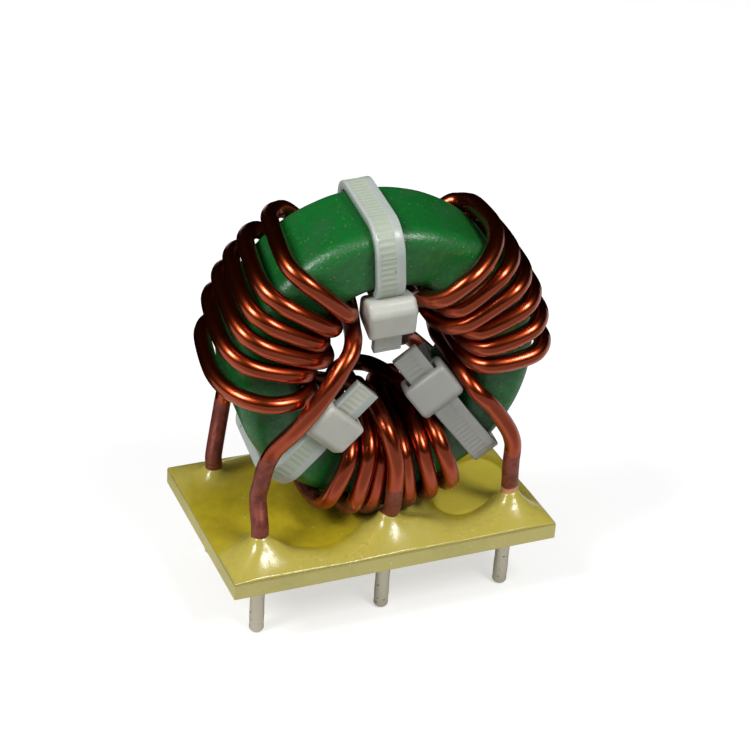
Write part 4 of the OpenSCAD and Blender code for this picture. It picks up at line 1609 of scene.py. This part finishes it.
# %% The pools, seen from above
LEFT_POOL = [(-6.3, 8.2), (-9.1, 7.2), (-11.2, 6.9), (-13.2, 7.0), (-14.6, 5.8), (-15.7, 2.2),
             (-15.7, -4.6), (-12.8, -4.8), (-11.0, -5.3), (-9.0, -6.5), (-5.8, -7.0), (-3.4, -6.1),
             (-1.2, -4.2), (0.2, -2.6), (0.6, 0.5), (0.2, 4.0), (-2.5, 7.6)]
OVAL_POOL = [(6.2, -2.2), (6.1, -4.5), (6.9, -6.1), (8.7, -6.3), (11.3, -5.4), (12.9, -4.3),
             (14.1, -2.8), (15.1, -0.3), (14.9, 1.2), (13.8, 2.3), (12.1, 2.1), (9.6, 1.4),
             (7.5, -0.2)]
BACK_POOL = [(2.5, 8.0), (2.8, 4.5), (5.0, 3.4), (8.5, 4.2), (12.0, 4.6), (15.0, 4.4), (15.2, 6.2),
             (13.0, 7.2), (9.0, 8.0), (5.5, 8.6)]


def outside(polygon, x, y):
    """Signed distance to a polygon: negative inside it."""
    corners = np.array(polygon)
    after = np.roll(corners, -1, axis=0)
    away = np.full(x.shape, np.inf)
    within = np.zeros(x.shape, dtype=bool)
    for (x0, y0), (x1, y1) in zip(corners, after):
        ex, ey = x1 - x0, y1 - y0
        t = np.clip(((x - x0) * ex + (y - y0) * ey) / (ex * ex + ey * ey), 0, 1)
        away = np.minimum(away, np.hypot(x - x0 - t * ex, y - y0 - t * ey))
        crosses = (y0 > y) != (y1 > y)
        at_x = x0 + (y - y0) * ex / (ey if abs(ey) > TINY else TINY)
        within ^= crosses & (x < at_x)
    return np.where(within, -away, away)


print(len(LEFT_POOL) + len(OVAL_POOL) + len(BACK_POOL), "corners of pools")

# %% The grid, and noises on it
EPOXY_STEP = 0.15
EPOXY_INSET = 0.04
half_x, half_y = PLATE[0] / 2 - EPOXY_INSET, PLATE[1] / 2 - EPOXY_INSET
xs = np.linspace(-half_x, half_x, int(2 * half_x / EPOXY_STEP) + 1)
ys = np.linspace(-half_y, half_y, int(2 * half_y / EPOXY_STEP) + 1)
grid_x, grid_y = np.meshgrid(xs, ys, indexing="ij")


def slow(x, y, size, seed):
    """A slow noise between -1 and 1."""
    places = zip(x.flat, y.flat)
    values = [noise.noise(Vector((a / size, b / size, seed))) for a, b in places]
    return np.array(values).reshape(x.shape)


def soften(field, reach):
    """A field of the grid with its corners rounded over a reach in millimetres."""
    for _ in range(int(2 * (reach / EPOXY_STEP) ** 2)):
        for axis in (0, 1):
            padding = [(1, 1) if k == axis else (0, 0) for k in (0, 1)]
            wide = np.pad(field, padding, mode="edge")
            size = field.shape[axis]
            before, after = (np.take(wide, range(k, k + size), axis) for k in (0, 2))
            field = (before + 2 * field + after) / 4
    return field


print("grid of", grid_x.shape, "points")

# %% The edges of the pools
POOL_ROUND = 0.6
# How much of the hand's wobble each pool's edge shows
POOLS = ((LEFT_POOL, 1.0), (OVAL_POOL, 0.3), (BACK_POOL, 1.0))
WOBBLE, WOBBLE_SIZE = 0.3, 2.6


def pool_edges(x, y):
    """Signed distances to the edges of the left, the oval and the back pool."""
    wobble = WOBBLE * slow(x, y, WOBBLE_SIZE, 3.0)
    return [soften(outside(pool, x, y), POOL_ROUND) + wobble * part for pool, part in POOLS]


left, oval, rear = pool_edges(grid_x, grid_y)
from_pool = np.minimum(np.minimum(left, oval), rear)
print("up to %.1f mm from a pool" % from_pool.max())

# %% The banks between the pools
FILM = 0.22
BANK_H = 0.66
BANK_POWER, BANK_REACH = 1.4, 1.5
LUMPY, LUMPY_SIZE, FINE_LUMPY, FINE_SIZE = 0.3, 3.2, 0.05, 1.1
# Place, height and reach of the lumps where the epoxy holds the lower turns and the ties
LUMPS = [
    (-2.3, -3.6, 0.75, 1.1), (2.9, -4.2, 0.7, 1.0), (4.6, -3.2, 0.85, 1.1),
    (0.4, -4.4, 0.45, 0.9), (6.5, 0.0, 0.7, 1.0), (5.0, 3.4, 0.6, 1.2), (-3.2, 3.4, 0.5, 1.2),
    (2.4, -7.3, 0.45, 1.3), (4.0, -7.9, 0.25, 1.3), (-10.9, -7.7, 0.35, 1.2),
    (-13.7, -8.2, 0.3, 1.6), (13.2, -7.8, 0.3, 1.4),
]


def bank_heights(x, y, rise):
    """The film in the pools, the uneven banks between them, and the lumps."""
    lumpy = 1 + LUMPY * slow(x, y, LUMPY_SIZE, 11.0) + FINE_LUMPY * slow(x, y, FINE_SIZE, 17.0)
    height = FILM + BANK_H * rise * lumpy
    for lx, ly, tall, reach in LUMPS:
        height += tall * np.exp(-((x - lx) ** 2 + (y - ly) ** 2) / reach ** 2)
    return height


rise = 1 - np.exp(-np.maximum(from_pool, 0) ** BANK_POWER / BANK_REACH)
banks = bank_heights(grid_x, grid_y, rise)
print("banks up to %.2f mm" % banks.max())

# %% The cones round the leads
# For each pin's column and row: the cone's height at the wire and how fast it dies away
CONES = {
    (-1, -1): (1.75, 0.7), (0, -1): (1.7, 0.6), (1, -1): (1.65, 0.6),
    (-1, 1): (1.6, 0.6), (0, 1): (1.6, 0.6), (1, 1): (1.7, 0.6),
}
FLANK_SHARE, FLANK_REACH, FLANK_POWER = 0.42, 2.5, 1.3
OVALNESS = 0.18


def cone_heights(x, y):
    """A steep cone on a wide flank round each lead. Where two meet, the higher one counts."""
    cones = np.zeros(x.shape)
    for (column, row), (tall, reach) in CONES.items():
        dx, dy = x - column * PIN_PITCH, y - row * ROW_PITCH / 2
        away = np.maximum(np.hypot(dx, dy) - WIRE_R, 0)
        around = 1 + OVALNESS * np.sin(2 * np.arctan2(dy, dx) + column + 2 * row)
        steep = (1 - FLANK_SHARE) * np.exp(-away / (reach * around))
        flank = FLANK_SHARE * np.exp(-(away / (FLANK_REACH * around)) ** FLANK_POWER)
        cones = np.maximum(cones, tall * (steep + flank))
    return cones


cones = cone_heights(grid_x, grid_y)
print("cones up to %.2f mm" % cones.max())

# %% Let it down to the plate's edge
LIP = 3.2
EDGE_FILM = 0.12
# The cone height that counts as a full bank, and how far past its edge the oval pool takes its
# clearer yellow and painted lamp light
FULL_CONE = 1.5
OVAL_SHORE = 0.5


def edge_share(x, y):
    """The share of its height that the epoxy keeps: all inside, and little at the edge."""
    lip = np.ones(x.shape)
    for across, size in ((x, PLATE[0]), (y, PLATE[1])):
        inward = np.clip((size / 2 - np.abs(across)) / LIP, 0, 1)
        lip *= inward * (2 - inward)
    return EDGE_FILM + (1 - EDGE_FILM) * lip


heights = (banks + cones) * edge_share(grid_x, grid_y)
banked = np.clip(rise + cones / FULL_CONE, 0, 1)
# Where the oval pool gets its clearer yellow and its painted lamp light
in_oval = np.clip(OVAL_SHORE - oval, 0, 1)
print("epoxy up to %.2f mm over the plate" % heights.max())

# %% The epoxy's skin
SUNK = 0.02


def make_epoxy():
    """The grid of heights as a skin, with a short skirt and a base let into the plate."""
    nx, ny = len(xs), len(ys)
    top = np.stack([grid_x, grid_y, PLATE[2] + heights], axis=-1).reshape(-1, 3)
    border = [(i, 0) for i in range(nx)] + [(nx - 1, j) for j in range(1, ny)]
    border += [(i, ny - 1) for i in range(nx - 2, -1, -1)]
    border += [(0, j) for j in range(ny - 2, 0, -1)]
    skirt = np.array([(xs[i], ys[j], PLATE[2] - SUNK) for i, j in border])
    faces = [(i * ny + j, (i + 1) * ny + j, (i + 1) * ny + j + 1, i * ny + j + 1)
             for i in range(nx - 1) for j in range(ny - 1)]
    base = nx * ny
    count = len(border)
    for k, (i, j) in enumerate(border):
        m = (k + 1) % count
        faces.append((i * ny + j, base + k, base + m, border[m][0] * ny + border[m][1]))
    faces.append(tuple(base + k for k in range(count - 1, -1, -1)))
    marks = {
        "bank": np.concatenate([banked.ravel(), np.ones(count)]),
        "bright": np.concatenate([in_oval.ravel(), np.zeros(count)]),
    }
    return make_piece("epoxy_pour", np.vstack([top, skirt]), faces, potting, "potting_epoxy", marks)


pour = make_epoxy()
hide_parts("epoxy")
tell(pour)

# %% [markdown]
# ## The sizes, and the end
# The finish must not change the construction's size, so both boxes are written down and can be
# compared.

# %% Write the sizes
visual_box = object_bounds()
for name, box in (("cad", cad_box), ("visual", visual_box)):
    print(name, [[round(float(v) / MM, 2) for v in corner] for corner in box])

# %% View settings
scene.view_settings.view_transform = "Standard"
